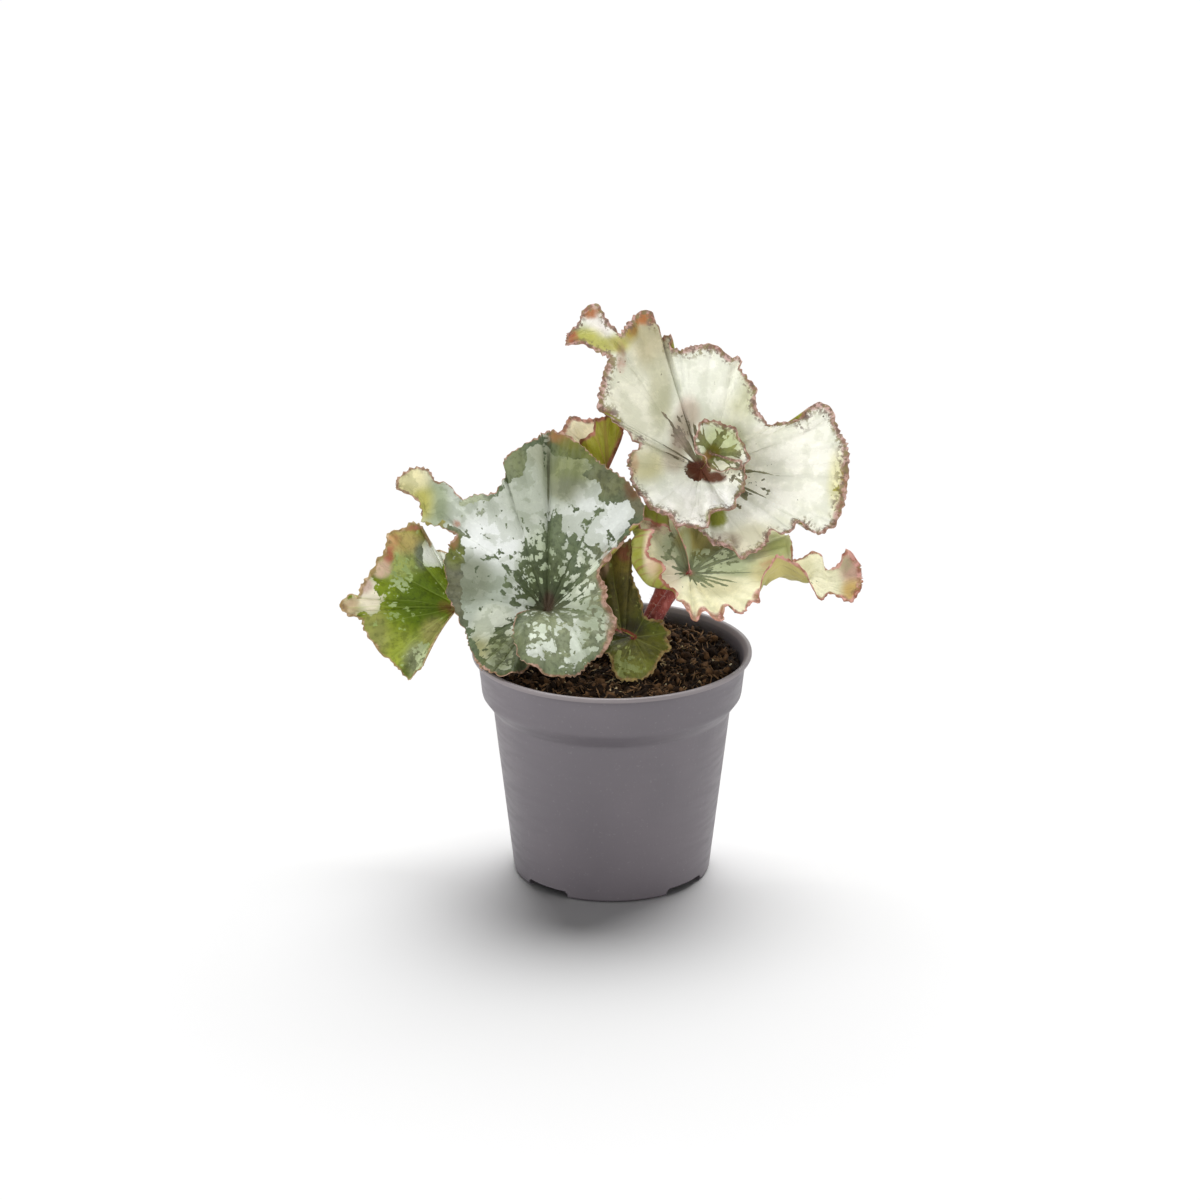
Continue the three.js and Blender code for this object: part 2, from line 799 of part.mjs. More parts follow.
function potGeometry() {
  const body = solid(turned([
    [0, 0],
    [BASE_RADIUS - BASE_ROUNDING, 0],
    [BASE_RADIUS - 0.3 * BASE_ROUNDING, 0.3 * BASE_ROUNDING],
    [BASE_RADIUS, BASE_ROUNDING],
    [BODY_TOP_RADIUS, BODY_TOP],
    [BAND_FOOT_RADIUS, BAND_FOOT],
    [BAND_TOP_RADIUS, LIP_FOOT],
    [LIP_RADIUS - 0.4, LIP_FOOT],
    [LIP_RADIUS, LIP_FOOT + 0.5],
    [LIP_RADIUS, POT_HEIGHT - 0.5],
    [LIP_RADIUS - 0.4, POT_HEIGHT],
    [LIP_RADIUS - LIP_WIDTH + 0.3, POT_HEIGHT],
    [LIP_RADIUS - LIP_WIDTH - 0.2, POT_HEIGHT - 0.5],
    ...INNER_WALL,
    [0, FLOOR],
  ]));
  const width = 2 * BASE_RADIUS * Math.sin(THREE.MathUtils.degToRad(RECESS_ANGLE / 2));
  const reach = 2 * (BASE_RADIUS - RECESS_INNER_RADIUS);
  let cut = null;
  for (let k = 0; k < RECESS_COUNT; k++) {
    const turn = THREE.MathUtils.degToRad(RECESS_PHASE + (360 * k) / RECESS_COUNT);
    const recess = new THREE.BoxGeometry(reach, width, 2 * RECESS_HEIGHT);
    recess.translate(RECESS_INNER_RADIUS + reach / 2, 0, 0).rotateZ(turn);
    const drain = new THREE.CylinderGeometry(DRAIN_RADIUS, DRAIN_RADIUS, 3 * FLOOR, 12);
    drain.rotateX(Math.PI / 2).translate(RECESS_INNER_RADIUS + 1.6 * DRAIN_RADIUS - 1, 0, 0).rotateZ(turn);
    const tool = solid(recess).add(solid(drain));
    cut = cut ? cut.add(tool) : tool;
  }
  return geometryOf(body.subtract(cut));
}

// Lumps of the soil's surface
function soilHeight(x, y) {
  const lumps = Math.sin(0.31 * x + 0.8) * Math.cos(0.27 * y - 0.4)
    + 0.6 * Math.sin(0.53 * x - 0.41 * y + 1.9) + 0.4 * Math.cos(0.62 * y + 0.35 * x);
  const clear = Math.min(1, Math.hypot(x - CROWN.x, y - CROWN.y) / 30);
  return SOIL_LEVEL + SOIL_LUMP * clear * lumps;
}

function soilGeometry() {
  const wallRadius = (z) => {
    for (let k = 0; k + 1 < INNER_WALL.length; k++) {
      const [r0, z0] = INNER_WALL[k];
      const [r1, z1] = INNER_WALL[k + 1];
      if (z <= z0 && z >= z1) return r1 + ((r0 - r1) * (z - z1)) / (z0 - z1) - CLEARANCE;
    }
    return INNER_WALL[0][0] - CLEARANCE;
  };
  const bottom = FLOOR + CLEARANCE;
  const edge = SOIL_LEVEL - 2;
  const profile = [[0, bottom], [wallRadius(bottom), bottom]];
  for (const [, z] of [...INNER_WALL].reverse()) {
    if (z > bottom && z < edge) profile.push([wallRadius(z), z]);
  }
  profile.push([wallRadius(edge), edge]);
  for (let ring = SOIL_RINGS; ring >= 0; ring--) {
    profile.push([(wallRadius(edge) * ring) / (SOIL_RINGS + 0.4), SOIL_LEVEL]);
  }
  const geometry = turned(profile);
  const place = geometry.attributes.position;
  for (let k = 0; k < place.count; k++) {
    if (place.getZ(k) > edge + 0.1) place.setZ(k, soilHeight(place.getX(k), place.getY(k)));
  }
  const hole = new THREE.CylinderGeometry(
    CROWN.radius + CLEARANCE,
    CROWN.radius + CLEARANCE,
    2 * (SOIL_LEVEL - CROWN.bottom + CLEARANCE),
    16,
  );
  hole.rotateX(Math.PI / 2).translate(CROWN.x, CROWN.y, SOIL_LEVEL);
  return geometryOf(solid(geometry).subtract(solid(hole)));
}

function stemsGeometry() {
  const profile = [
    [0, CROWN.bottom],
    [0.8 * CROWN.radius, CROWN.bottom],
    [CROWN.radius, CROWN.bottom + 2],
    [CROWN.radius, CROWN.top - 4],
    [0.75 * CROWN.radius, CROWN.top - 1.2],
    [0.35 * CROWN.radius, CROWN.top],
    [0, CROWN.top],
  ].map(([r, z]) => new THREE.Vector2(r, z));
  const crown = new THREE.LatheGeometry(profile, 16).rotateX(Math.PI / 2);
  crown.translate(CROWN.x, CROWN.y, 0);
  let stems = solid(crown);
  for (const spec of STALKS) stems = stems.add(solid(stalk(spec)));
  return geometryOf(stems);
}

function piece(name, geometry, colour, roughness) {
  const material = new THREE.MeshStandardMaterial({ color: colour, roughness, metalness: 0 });
  const mesh = new THREE.Mesh(geometry, material);
  mesh.name = name;
  return mesh;
}

const plant = new THREE.Group();
plant.add(piece("pot", potGeometry(), 0x6e686d, 0.5));
plant.add(piece("soil", soilGeometry(), 0x2f211a, 0.95));
plant.add(piece("stems", stemsGeometry(), 0x7d2f2b, 0.6));
for (const leaf of LEAVES) {
  plant.add(piece(leaf.name, thicken(bladeSheet(leaf), BLADE), leaf.colour, 0.55));
}

export default plant;
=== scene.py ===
import math
from types import SimpleNamespace

import bmesh
import bpy
import numpy as np
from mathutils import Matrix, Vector


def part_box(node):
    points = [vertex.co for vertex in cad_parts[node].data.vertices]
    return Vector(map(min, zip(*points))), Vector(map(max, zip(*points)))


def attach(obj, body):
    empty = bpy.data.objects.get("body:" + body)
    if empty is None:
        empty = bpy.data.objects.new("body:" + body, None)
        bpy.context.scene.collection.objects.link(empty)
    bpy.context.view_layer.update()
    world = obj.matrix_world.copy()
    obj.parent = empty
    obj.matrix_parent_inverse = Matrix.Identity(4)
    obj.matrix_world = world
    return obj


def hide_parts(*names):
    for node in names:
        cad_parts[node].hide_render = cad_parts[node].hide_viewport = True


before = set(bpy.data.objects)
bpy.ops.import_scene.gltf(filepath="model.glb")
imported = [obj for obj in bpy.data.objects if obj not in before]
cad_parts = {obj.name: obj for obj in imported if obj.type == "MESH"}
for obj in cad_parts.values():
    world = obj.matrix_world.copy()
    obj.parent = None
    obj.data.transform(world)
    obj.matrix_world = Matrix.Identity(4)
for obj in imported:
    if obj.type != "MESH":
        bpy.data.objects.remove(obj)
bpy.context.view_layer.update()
MM = 0.001
POT_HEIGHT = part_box("pot")[1].z / MM
VIEW_LEAN = math.radians(20)


def put_in_scene(name, data):
    """An object of the scene that shows this mesh, lamp or camera."""
    thing = bpy.data.objects.new(name, data)
    bpy.context.scene.collection.objects.link(thing)
    return thing


# Camera

CAMERA_PLACE = (-0.0051, -1.6843, 0.7352)
CAMERA_LENS, CAMERA_SENSOR = 126, 36


def make_camera():
    data = bpy.data.cameras.new("camera")
    data.lens = CAMERA_LENS
    data.sensor_width = CAMERA_SENSOR
    data.clip_start = 0.05
    data.clip_end = 60
    camera = put_in_scene("camera", data)
    camera.location = CAMERA_PLACE
    camera.rotation_euler = (math.pi / 2 - VIEW_LEAN, 0, 0)
    bpy.context.scene.camera = camera


make_camera()


# Leaf blades
# Each leaf is drawn in the front plane, which leans back by VIEW_LEAN through the middle of the
# pot's mouth: X to the right, U up the plane and D out of it. A sweep is a stretch of margin that
# winds round one vein centre, given by where that centre starts and ends. A row is a point of the
# margin and, where the rib to it is bent, the point that it bends towards. A tongue is a long tip
# that grows out of the margin between two rows. These are the rows of the solid blades. A stalk is
# its radii along the way and the points that it passes.

LEAVES = {}
LEAVES["leaf_front"] = dict(
    turn=1, cup=0.34, ruffle=1, wave=13,
    sweeps=[((-27.5, 15.5, 3), (-27.5, 15.5, 8), [
        (-25, 2, 18, -26, 10, 9), (-32, -3, 26, -29, 8, 14), (-37, -9, 33, -33, 5, 18),
        (-43, -10.5, 37, -36, 5, 19), (-49, -10, 36, -39, 5, 19), (-54, -8.5, 33, -42, 6, 18),
        (-58, -4.5, 20, -44, 8, 16), (-60.5, 1, 13, -45, 10, 14), (-62.5, 7, 9, -46, 13, 13),
        (-66, 14, 5, -47, 17, 12), (-70, 22, 1, -49, 22, 12), (-71, 29, -1, -50, 26, 12),
        (-71.5, 37, -2, -50, 30, 11.5), (-70.5, 43, -1, -50, 34, 10.5), (-66.5, 48.5, 1, -52, 39, 9),
        (-65, 56, -3, -50, 45, 6.5), (-64, 64, -6, -51, 51.5, 4), (-57, 66, -4, -46, 50, 3.2),
        (-50.5, 67, -1, -40, 50, 3), (-46, 73, 0, -38, 50, 3), (-46, 81, 0, -36, 52, 3),
        (-39, 86.5, 1, -33, 54, 2), (-33, 90, 0, -30, 55, 1.2), (-26.5, 93.5, -6, -27, 55, 0.3),
        (-19, 91.5, 0, -24, 54, 1.2), (-12, 86, 3, -20, 52, 3), (-5, 79.5, 4, -17, 49, 4),
        (2, 75, 5, -13, 47, 5), (8, 70, 5, -10, 44, 6), (13.5, 61, 5, -8, 39, 8), (12.5, 55, 7, -8, 36, 10),
        (7, 49.5, 9, -9, 32.5, 11), (3.5, 44, 11, -11, 29.5, 12), (-1, 39.5, 13, -13, 27, 13),
        (-4.5, 35, 15, -14, 24.5, 15), (-5, 31, 17, -14, 24, 16), (-2, 25, 21, -14, 22, 18),
        (-2, 19, 24, -14, 21, 20), (2, 12, 26, -14, 20, 22), (0, 5, 30, -15, 19, 24),
        (-3, -1, 34, -17, 19, 26), (-9, -5, 37, -20, 19, 28), (-13, -9.5, 40, -22, 19, 29),
        (-19, -11.5, 42, -24.5, 19, 30), (-26, -11, 42.5, -27, 19, 30), (-32, -7.5, 41, -30, 19, 30),
        (-38, -4, 40, -33, 19, 29), (-41, 3, 37, -35, 18, 27), (-41.5, 10, 31, -37, 18, 21),
        (-39.5, 15.5, 23, -35, 17.5, 14),
    ])],
    tongues=[dict(rows=(14, 16), left=[
        (-74, 52.5, -4), (-81, 54, -7), (-82, 60, -7), (-84.5, 64.5, -6), (-92.5, 68.5, -1),
    ], right=[
        (-71, 71, -8), (-76, 72, -8), (-79, 77, -7), (-86, 77.5, -5), (-92.5, 72.5, -2),
    ])],
)
LEAVES["leaf_right_high"] = dict(
    turn=-1, cup=0.34, ruffle=1.1, wave=13,
    sweeps=[((38.5, 77.5, -16), (38.5, 77.5, -11), [
        (36.5, 56, -1), (37.3, 51.5, 0), (40, 47.5, 2), (45, 44.5, 4), (50, 42.5, 6), (55, 39.5, 8),
        (60, 40, 8), (65, 44, 5.5), (68.5, 49.5, 3), (74, 49.5, 2), (77.5, 51, 1),
        (79, 53, 1, 60, 65, -9.5), (83, 52.5, 1, 62, 65.5, -9), (88, 49, 3, 68, 64, -7.5),
        (92, 50, 4, 70, 64.5, -7), (96, 54, 4, 68, 66.5, -8), (99.5, 61.5, 3), (100, 67, 3), (101.5, 73, 2),
        (101, 78.5, 2), (101.5, 85.5, 1), (97.5, 93, 1), (95.5, 99.5, 1, 78, 89.5, -7),
        (92, 104.5, 0, 76.5, 91.5, -7), (86.5, 105.5, 0, 71, 91.5, -8), (83, 100.5, -1, 67, 91.5, -8),
        (76, 97.5, -2, 62, 91, -9), (69.5, 96, -3, 57, 90, -10), (64.5, 99.5, -2), (61.5, 104, -1),
        (62.5, 110, 0), (58.5, 115.5, 0), (55.5, 120, 0), (55, 124, 0), (50, 125.5, 0), (46.5, 129, 0),
        (39, 130.5, 0), (32, 129, -1), (29.5, 127.5, -2), (26.5, 129.5, -2),
        (25, 134.5, -2, 31.7, 104.7, -9.3), (20.5, 133.5, -4, 30.6, 104.4, -9.3),
        (18.5, 138, -2, 29.6, 104.1, -9), (18, 143, 2, 27.3, 107.5, -7.5), (15, 145, 3, 24.7, 110.8, -5.8),
        (10, 143, 3, 21.9, 113.9, -4.2), (7.5, 140.5, 0, 20.5, 113.2, -4),
        (4, 135.5, -4, 18.6, 112.2, -4.5), (1.5, 130, -3.5, 15.8, 110.5, -5.5),
        (-1, 125, -3, 13.3, 108.6, -6.5), (-3, 120, -3, 10, 108, -7), (-5, 113, -4), (-6, 107, -6),
        (-5.5, 102, -7, 18, 91, -10), (-3, 100.5, -7, 19.4, 89.5, -10), (0, 98, -8, 21, 88, -10),
        (4, 95, -8, 22.5, 86.3, -10), (6.5, 93, -8, 24, 84.6, -10.3), (8.5, 91.5, -8, 24.5, 83.4, -10.3),
        (11.5, 89, -7, 25.3, 82.2, -10), (11, 86, -6), (8, 84.2, -6), (7, 80, -5), (8, 73, -3),
        (10, 68.5, -1), (13, 63.5, 1), (17, 60, 3), (21, 57.5, 4), (25, 55, 5), (28, 53, 5), (33, 51.5, 6),
        (38, 51, 7), (41, 54, 7), (45, 58.5, 7), (50, 59.5, 7),
    ]), ((39.6, 78.8, -10), (41.9, 82.7, -7.4), [
        (53.5, 62.5, 7), (55.5, 66, 7), (56.5, 71, 6.5), (57.5, 76, 6),
    ]), ((43, 84, -6.5), (43, 84, -3), [
        (58, 80, 6), (57.5, 84.5, 5), (56, 89, 4), (53, 93, 3.5), (49, 96, 3), (44.5, 97.8, 3),
        (40, 97.3, 3), (36.5, 95, 3), (35.3, 90.5, 3), (36, 86, 4), (38, 82, 5), (41, 78.8, 6),
        (45, 76.3, 7), (50, 75.5, 8), (54, 77, 8.5), (55, 80, 8),
    ])],
    tongues=[dict(rows=(47, 49), left=[
        (-1.7, 141, -7), (-6.5, 148.5, -9), (-12.4, 145.5, -8), (-14.1, 140.4, -5), (-19.2, 135, -3),
    ], right=[
        (-3.7, 126, -2.5), (-6.4, 127.3, -2), (-9.5, 129, -1.5), (-12.4, 130.5, -1), (-20, 130, -1),
    ])],
)
LEAVES["leaf_right_low"] = dict(
    turn=-1, cup=0.4, ruffle=1.1, wave=13,
    sweeps=[((33, 32, 5.5), (33, 32, 8.5), [
        (31, 56, -9, 31.5, 50, -6), (27.5, 51, -3, 27, 60, -10), (24, 51, -1, 21, 69, -11),
        (19.5, 53, 0.5, 14, 73, -11), (15, 55.5, 0.5, 8, 75, -11), (11.5, 55, 0.5, 1, 65, -8),
        (13, 51.5, 4, -2, 56, -3), (17.8, 50.8, 7, -4, 51, 0), (17.5, 48, 10, -6, 47, 3),
        (15, 43.5, 12, -4, 41.5, 5), (16, 39.5, 14, -4.5, 35, 7), (19.5, 38, 15, -2.5, 29, 9),
        (22, 35.5, 16, 0.5, 23.5, 11), (21.5, 31, 18, 6.5, 22, 12), (23, 28, 20, 14, 22.5, 14),
        (28, 22.8, 25, 24, 24.5, 16), (30, 18, 30), (34.3, 13.2, 34), (38.7, 15, 34), (45, 12.2, 37),
        (46.7, 15, 35), (50, 17.5, 34), (54.6, 15.4, 36), (57.2, 18, 34), (61.4, 19.2, 34),
        (61.4, 22.6, 32), (62.5, 24.5, 29.5, 49.5, 27.3, 18.5), (63.8, 26.5, 26, 50.5, 28.5, 17),
        (65.5, 29, 21, 51.5, 30, 14.5), (68, 33, 14, 52, 32.3, 11.5), (71.5, 40, 5, 53, 36, 7.5),
        (76, 48, -4, 54, 40.5, 3.5), (70, 52, -10), (62, 55, -15), (52, 57, -18), (43, 57, -15),
        (36, 56, -8), (30.5, 54.3, -2.5, 34, 45, 4), (26.5, 51.5, 0.5, 33, 43, 5),
    ])],
    tongues=[dict(rows=(25, 31), left=[
        (63.5, 31, 33), (66.5, 35.5, 34), (69, 39.5, 32), (73, 38.5, 30), (78, 36, 29), (81.5, 33, 28),
        (84, 27, 27), (88, 20.7, 26), (92, 23.6, 24), (96.7, 21.5, 25), (101.3, 20, 26), (105.2, 25.5, 25),
    ], keel=[
        (62.3, 22.7, 28), (65.2, 17, 31), (69.1, 16.2, 29), (74, 15.6, 27), (78, 16.6, 24.7),
        (80, 16.5, 24.5), (82.5, 18.2, 24.5), (85, 25.7, 22.5), (88.5, 29.7, 21), (91.5, 28.7, 20),
        (96, 29, 20), (100.5, 31, 19.5), (106, 31, 21),
    ], right=[
        (77.2, 45, -1), (77.3, 42, 2), (77, 38.5, 6), (79, 38.2, 8.5), (81.5, 39, 10), (83.5, 40.5, 11),
        (85.7, 41.5, 12), (89, 40, 14), (90.8, 33.8, 16), (96, 36, 17), (99.8, 42.3, 19), (105, 36, 21),
    ])],
)
LEAVES["leaf_left"] = dict(
    turn=1, cup=0.3, ruffle=1.1, wave=13,
    sweeps=[((-65.5, 18, -12), (-65.5, 18, -9), [
        (-80, -8, 4, -76, 6.5, -3), (-84, -10.5, 4, -78, 5.2, -4), (-86, -12.7, 4, -79, 5.2, -4.5),
        (-88.5, -11.5, 3, -80, 5.3, -4.5), (-92, -8.5, 2, -81, 6, -4.5), (-95, -4.5, 1, -83, 6.5, -4),
        (-100, -1.5, 0), (-103, 3.5, -1), (-106.5, 8.5, -1), (-108, 12.5, -1),
        (-112.5, 14.6, 1, -104, 15.6, -4.5), (-116, 16, 0, -105.5, 16.6, -4.5),
        (-116.5, 20, -1, -105.5, 18.5, -4.5), (-113.5, 21.5, -1, -104, 19.8, -4.5),
        (-111, 23, 0, -101, 20.4, -5), (-109, 22.8, 1), (-108, 26, 1), (-106, 29, 0), (-103.5, 32.5, -1),
        (-101.5, 37, -2), (-98.5, 40, -2), (-97, 44, -3), (-97.3, 48, -4), (-94.5, 50.5, -6),
        (-90, 51.5, -8), (-86, 54.5, -10), (-82, 53, -11, -73.5, 37, -11), (-80, 48, -11, -71.5, 35, -11),
        (-77.5, 44, -12, -70, 33, -11), (-71.5, 41, -13, -67.8, 30, -11), (-64, 38, -15), (-58, 30, -15),
        (-56, 20, -14),
    ])],
    tongues=[],
)
LEAVES["leaf_back_small"] = dict(
    turn=1, cup=0.5, ruffle=0.6, wave=9,
    sweeps=[((-2, 76, -12), (-2, 76, -14), [
        (5.5, 93, -14), (4, 96.5, -13.5), (2.5, 100, -13), (0, 102.5, -12), (-3, 100, -11), (-5, 99.3, -10),
        (-7.5, 98.3, -8), (-8, 95, -6), (-8, 92.5, -5), (-12.5, 90.5, -4), (-15, 87, -6), (-19, 89, -10),
        (-22, 93, -14), (-20.5, 96, -17), (-18, 100.5, -20), (-14, 99.5, -22), (-9, 99.5, -23.5),
        (-4, 99, -24), (2, 96, -23),
    ])],
    tongues=[],
)
LEAVES["leaf_front_small"] = dict(
    turn=1, cup=0.6, ruffle=0.7, wave=9,
    sweeps=[((3, 8, 18), (6, 6.5, 18), [
        (-8, 20, 8), (-7, 30, 6), (-4, 38, 4), (-0.5, 41.5, 3), (3.5, 44.5, 3), (7.5, 47, 4), (8.2, 43, 5),
        (8.3, 37, 6), (8.6, 31, 8), (9.8, 27.8, 9.5),
    ]), ((9, 5, 18), (9, 5, 16), [
        (11, 25.5, 11), (12.5, 21, 12), (13.5, 15, 13), (16, 12.5, 14), (21, 12.3, 14), (22.5, 9.5, 15),
        (24.5, 7, 16), (23.5, 4.5, 17), (25, 0, 18), (22, -1.5, 20), (20.5, -4, 21), (19, -6, 23),
        (17.5, -9.5, 25), (14, -12, 27), (9, -13.5, 28), (5, -13.3, 28), (2, -11.5, 27), (0, -8, 25),
        (-0.5, -4, 23), (-2, -2.5, 21), (-6, 2, 15.5), (-8, 11, 9.5),
    ])],
    tongues=[],
)
STALKS = [
    ((2.4, 2.1, 1.3), [(8, -1, -1), (-8, 5, -3), (-22, 11, -6), (-27.5, 15, -3), (-27.5, 15.5, 4)]),
    ((3.1, 2.7, 1.3), [
        (8, -1, -1), (17, 15, -4), (23, 29, -9.5), (30, 52, -17), (37, 74.5, -22), (38.5, 77.5, -14),
    ]),
    ((3.2, 2.8, 1.3), [(9, -1, -1), (18.6, 13, 0.5), (25.8, 23.5, 0.5), (32, 29.8, 1.5), (33, 32, 7)]),
    ((2.2, 1.9, 1.3), [(6, 0, -3), (-30, 8, -12), (-56, 14.5, -17), (-64, 17.5, -17), (-65.5, 18, -10.5)]),
    ((1.8, 1.4, 1.2), [
        (7, -1, -4), (-5, 22, -16), (-9, 42, -20), (-8, 62, -21), (-3, 72, -19), (-2, 77.2, -13),
    ]),
    ((1.8, 1.5, 1), [(9, -1, 1), (9.5, 1, 7), (9, 3.5, 12), (9, 5, 17)]),
]

LEAF_STEP = 0.9
LEAF_BANDS = 34
HUB_HOLE = 0.4
TRACK_STEPS = 40
RUFFLE_FROM = 0.55
RIM_REACH = 16

# The ruffle's waves: size, length as a share of the leaf's own wave, and start
RUFFLES = ((1, 1, 0.6), (0.6, 0.56, 2))


def to_world(points):
    """Points of the front plane as points of the row's frame, both in millimetres."""
    s, c = math.sin(VIEW_LEAN), math.cos(VIEW_LEAN)
    x, u, d = np.moveaxis(np.asarray(points, float), -1, 0)
    return np.stack([x, u * s - d * c, POT_HEIGHT + u * c + d * s], -1)


def unit(vectors):
    return vectors / np.maximum(np.linalg.norm(vectors, axis=-1, keepdims=True), 1e-12)


def smooth(x, low, high):
    """0 below low, 1 above high, with a soft start and end."""
    t = np.clip((np.asarray(x, float) - low) / (high - low), 0, 1)
    return t * t * (3 - 2 * t)


def with_ends(rows):
    """The rows, with one more before and after them in line with the first and last two."""
    return np.vstack([2 * rows[0] - rows[1], rows, 2 * rows[-1] - rows[-2]])


def along(rows, u):
    """Catmull-Rom values at each u, from 0 to the last row."""
    rows = np.asarray(rows, float)
    u = np.asarray(u, float)
    i = np.clip(u.astype(int), 0, len(rows) - 2)
    f = (u - i)[:, None]
    ends = with_ends(rows)
    a, b, c, d = ends[i], ends[i + 1], ends[i + 2], ends[i + 3]
    return b + 0.5 * f * (c - a + f * (2 * a - 5 * b + 4 * c - d + f * (3 * (b - c) + d - a)))


def bent(start, bend, end, share):
    """Points of a curve from start to end that bends towards bend."""
    return (1 - share) ** 2 * start + 2 * share * (1 - share) * bend + share * share * end


def travelled(grid, start=0):
    """Distance along each row of a grid of points."""
    pieces = np.linalg.norm(np.diff(grid, axis=1), axis=2)
    return start + np.concatenate([np.zeros((len(grid), 1)), np.cumsum(pieces, axis=1)], 1)


def steps_across(grid, rows):
    """Millimetres for each row of the table, across the ribs."""
    sides = np.linalg.norm(np.gradient(grid, axis=0), axis=2)
    return sides / np.abs(np.gradient(rows))[:, None]


def grid_faces(ids):
    """Two triangles for each cell of a grid of vertex numbers."""
    p, q, r, s = ids[:-1, :-1], ids[1:, :-1], ids[1:, 1:], ids[:-1, 1:]
    halves = [np.stack([p, q, r], -1), np.stack([p, r, s], -1)]
    return np.concatenate([half.reshape(-1, 3) for half in halves])


def vertex_normals(points, faces):
    a, b, c = (points[faces[:, k]] for k in range(3))
    flat = np.cross(b - a, c - a)
    return unit(np.stack([
        sum(np.bincount(faces[:, k], flat[:, n], len(points)) for k in range(3)) for n in range(3)
    ], -1))


def ribs(leaf):
    """Margin, bend and inner points of all rows of a leaf."""
    found = []
    for start, end, rows in leaf["sweeps"]:
        for k, row in enumerate(rows):
            centre = np.array(start) + (np.array(end) - start) * (k / max(1, len(rows) - 1))
            margin = np.array(row[:3], float)
            if len(row) > 3:
                bend = np.array(row[3:], float)
            else:
                bend = 0.5 * (centre + margin)
                bend[2] = centre[2] + leaf["cup"] * (margin[2] - centre[2])
            away = bend - centre
            found.append((margin, bend, centre + away * HUB_HOLE / np.linalg.norm(away)))
    return np.moveaxis(np.array(found), 1, 0)


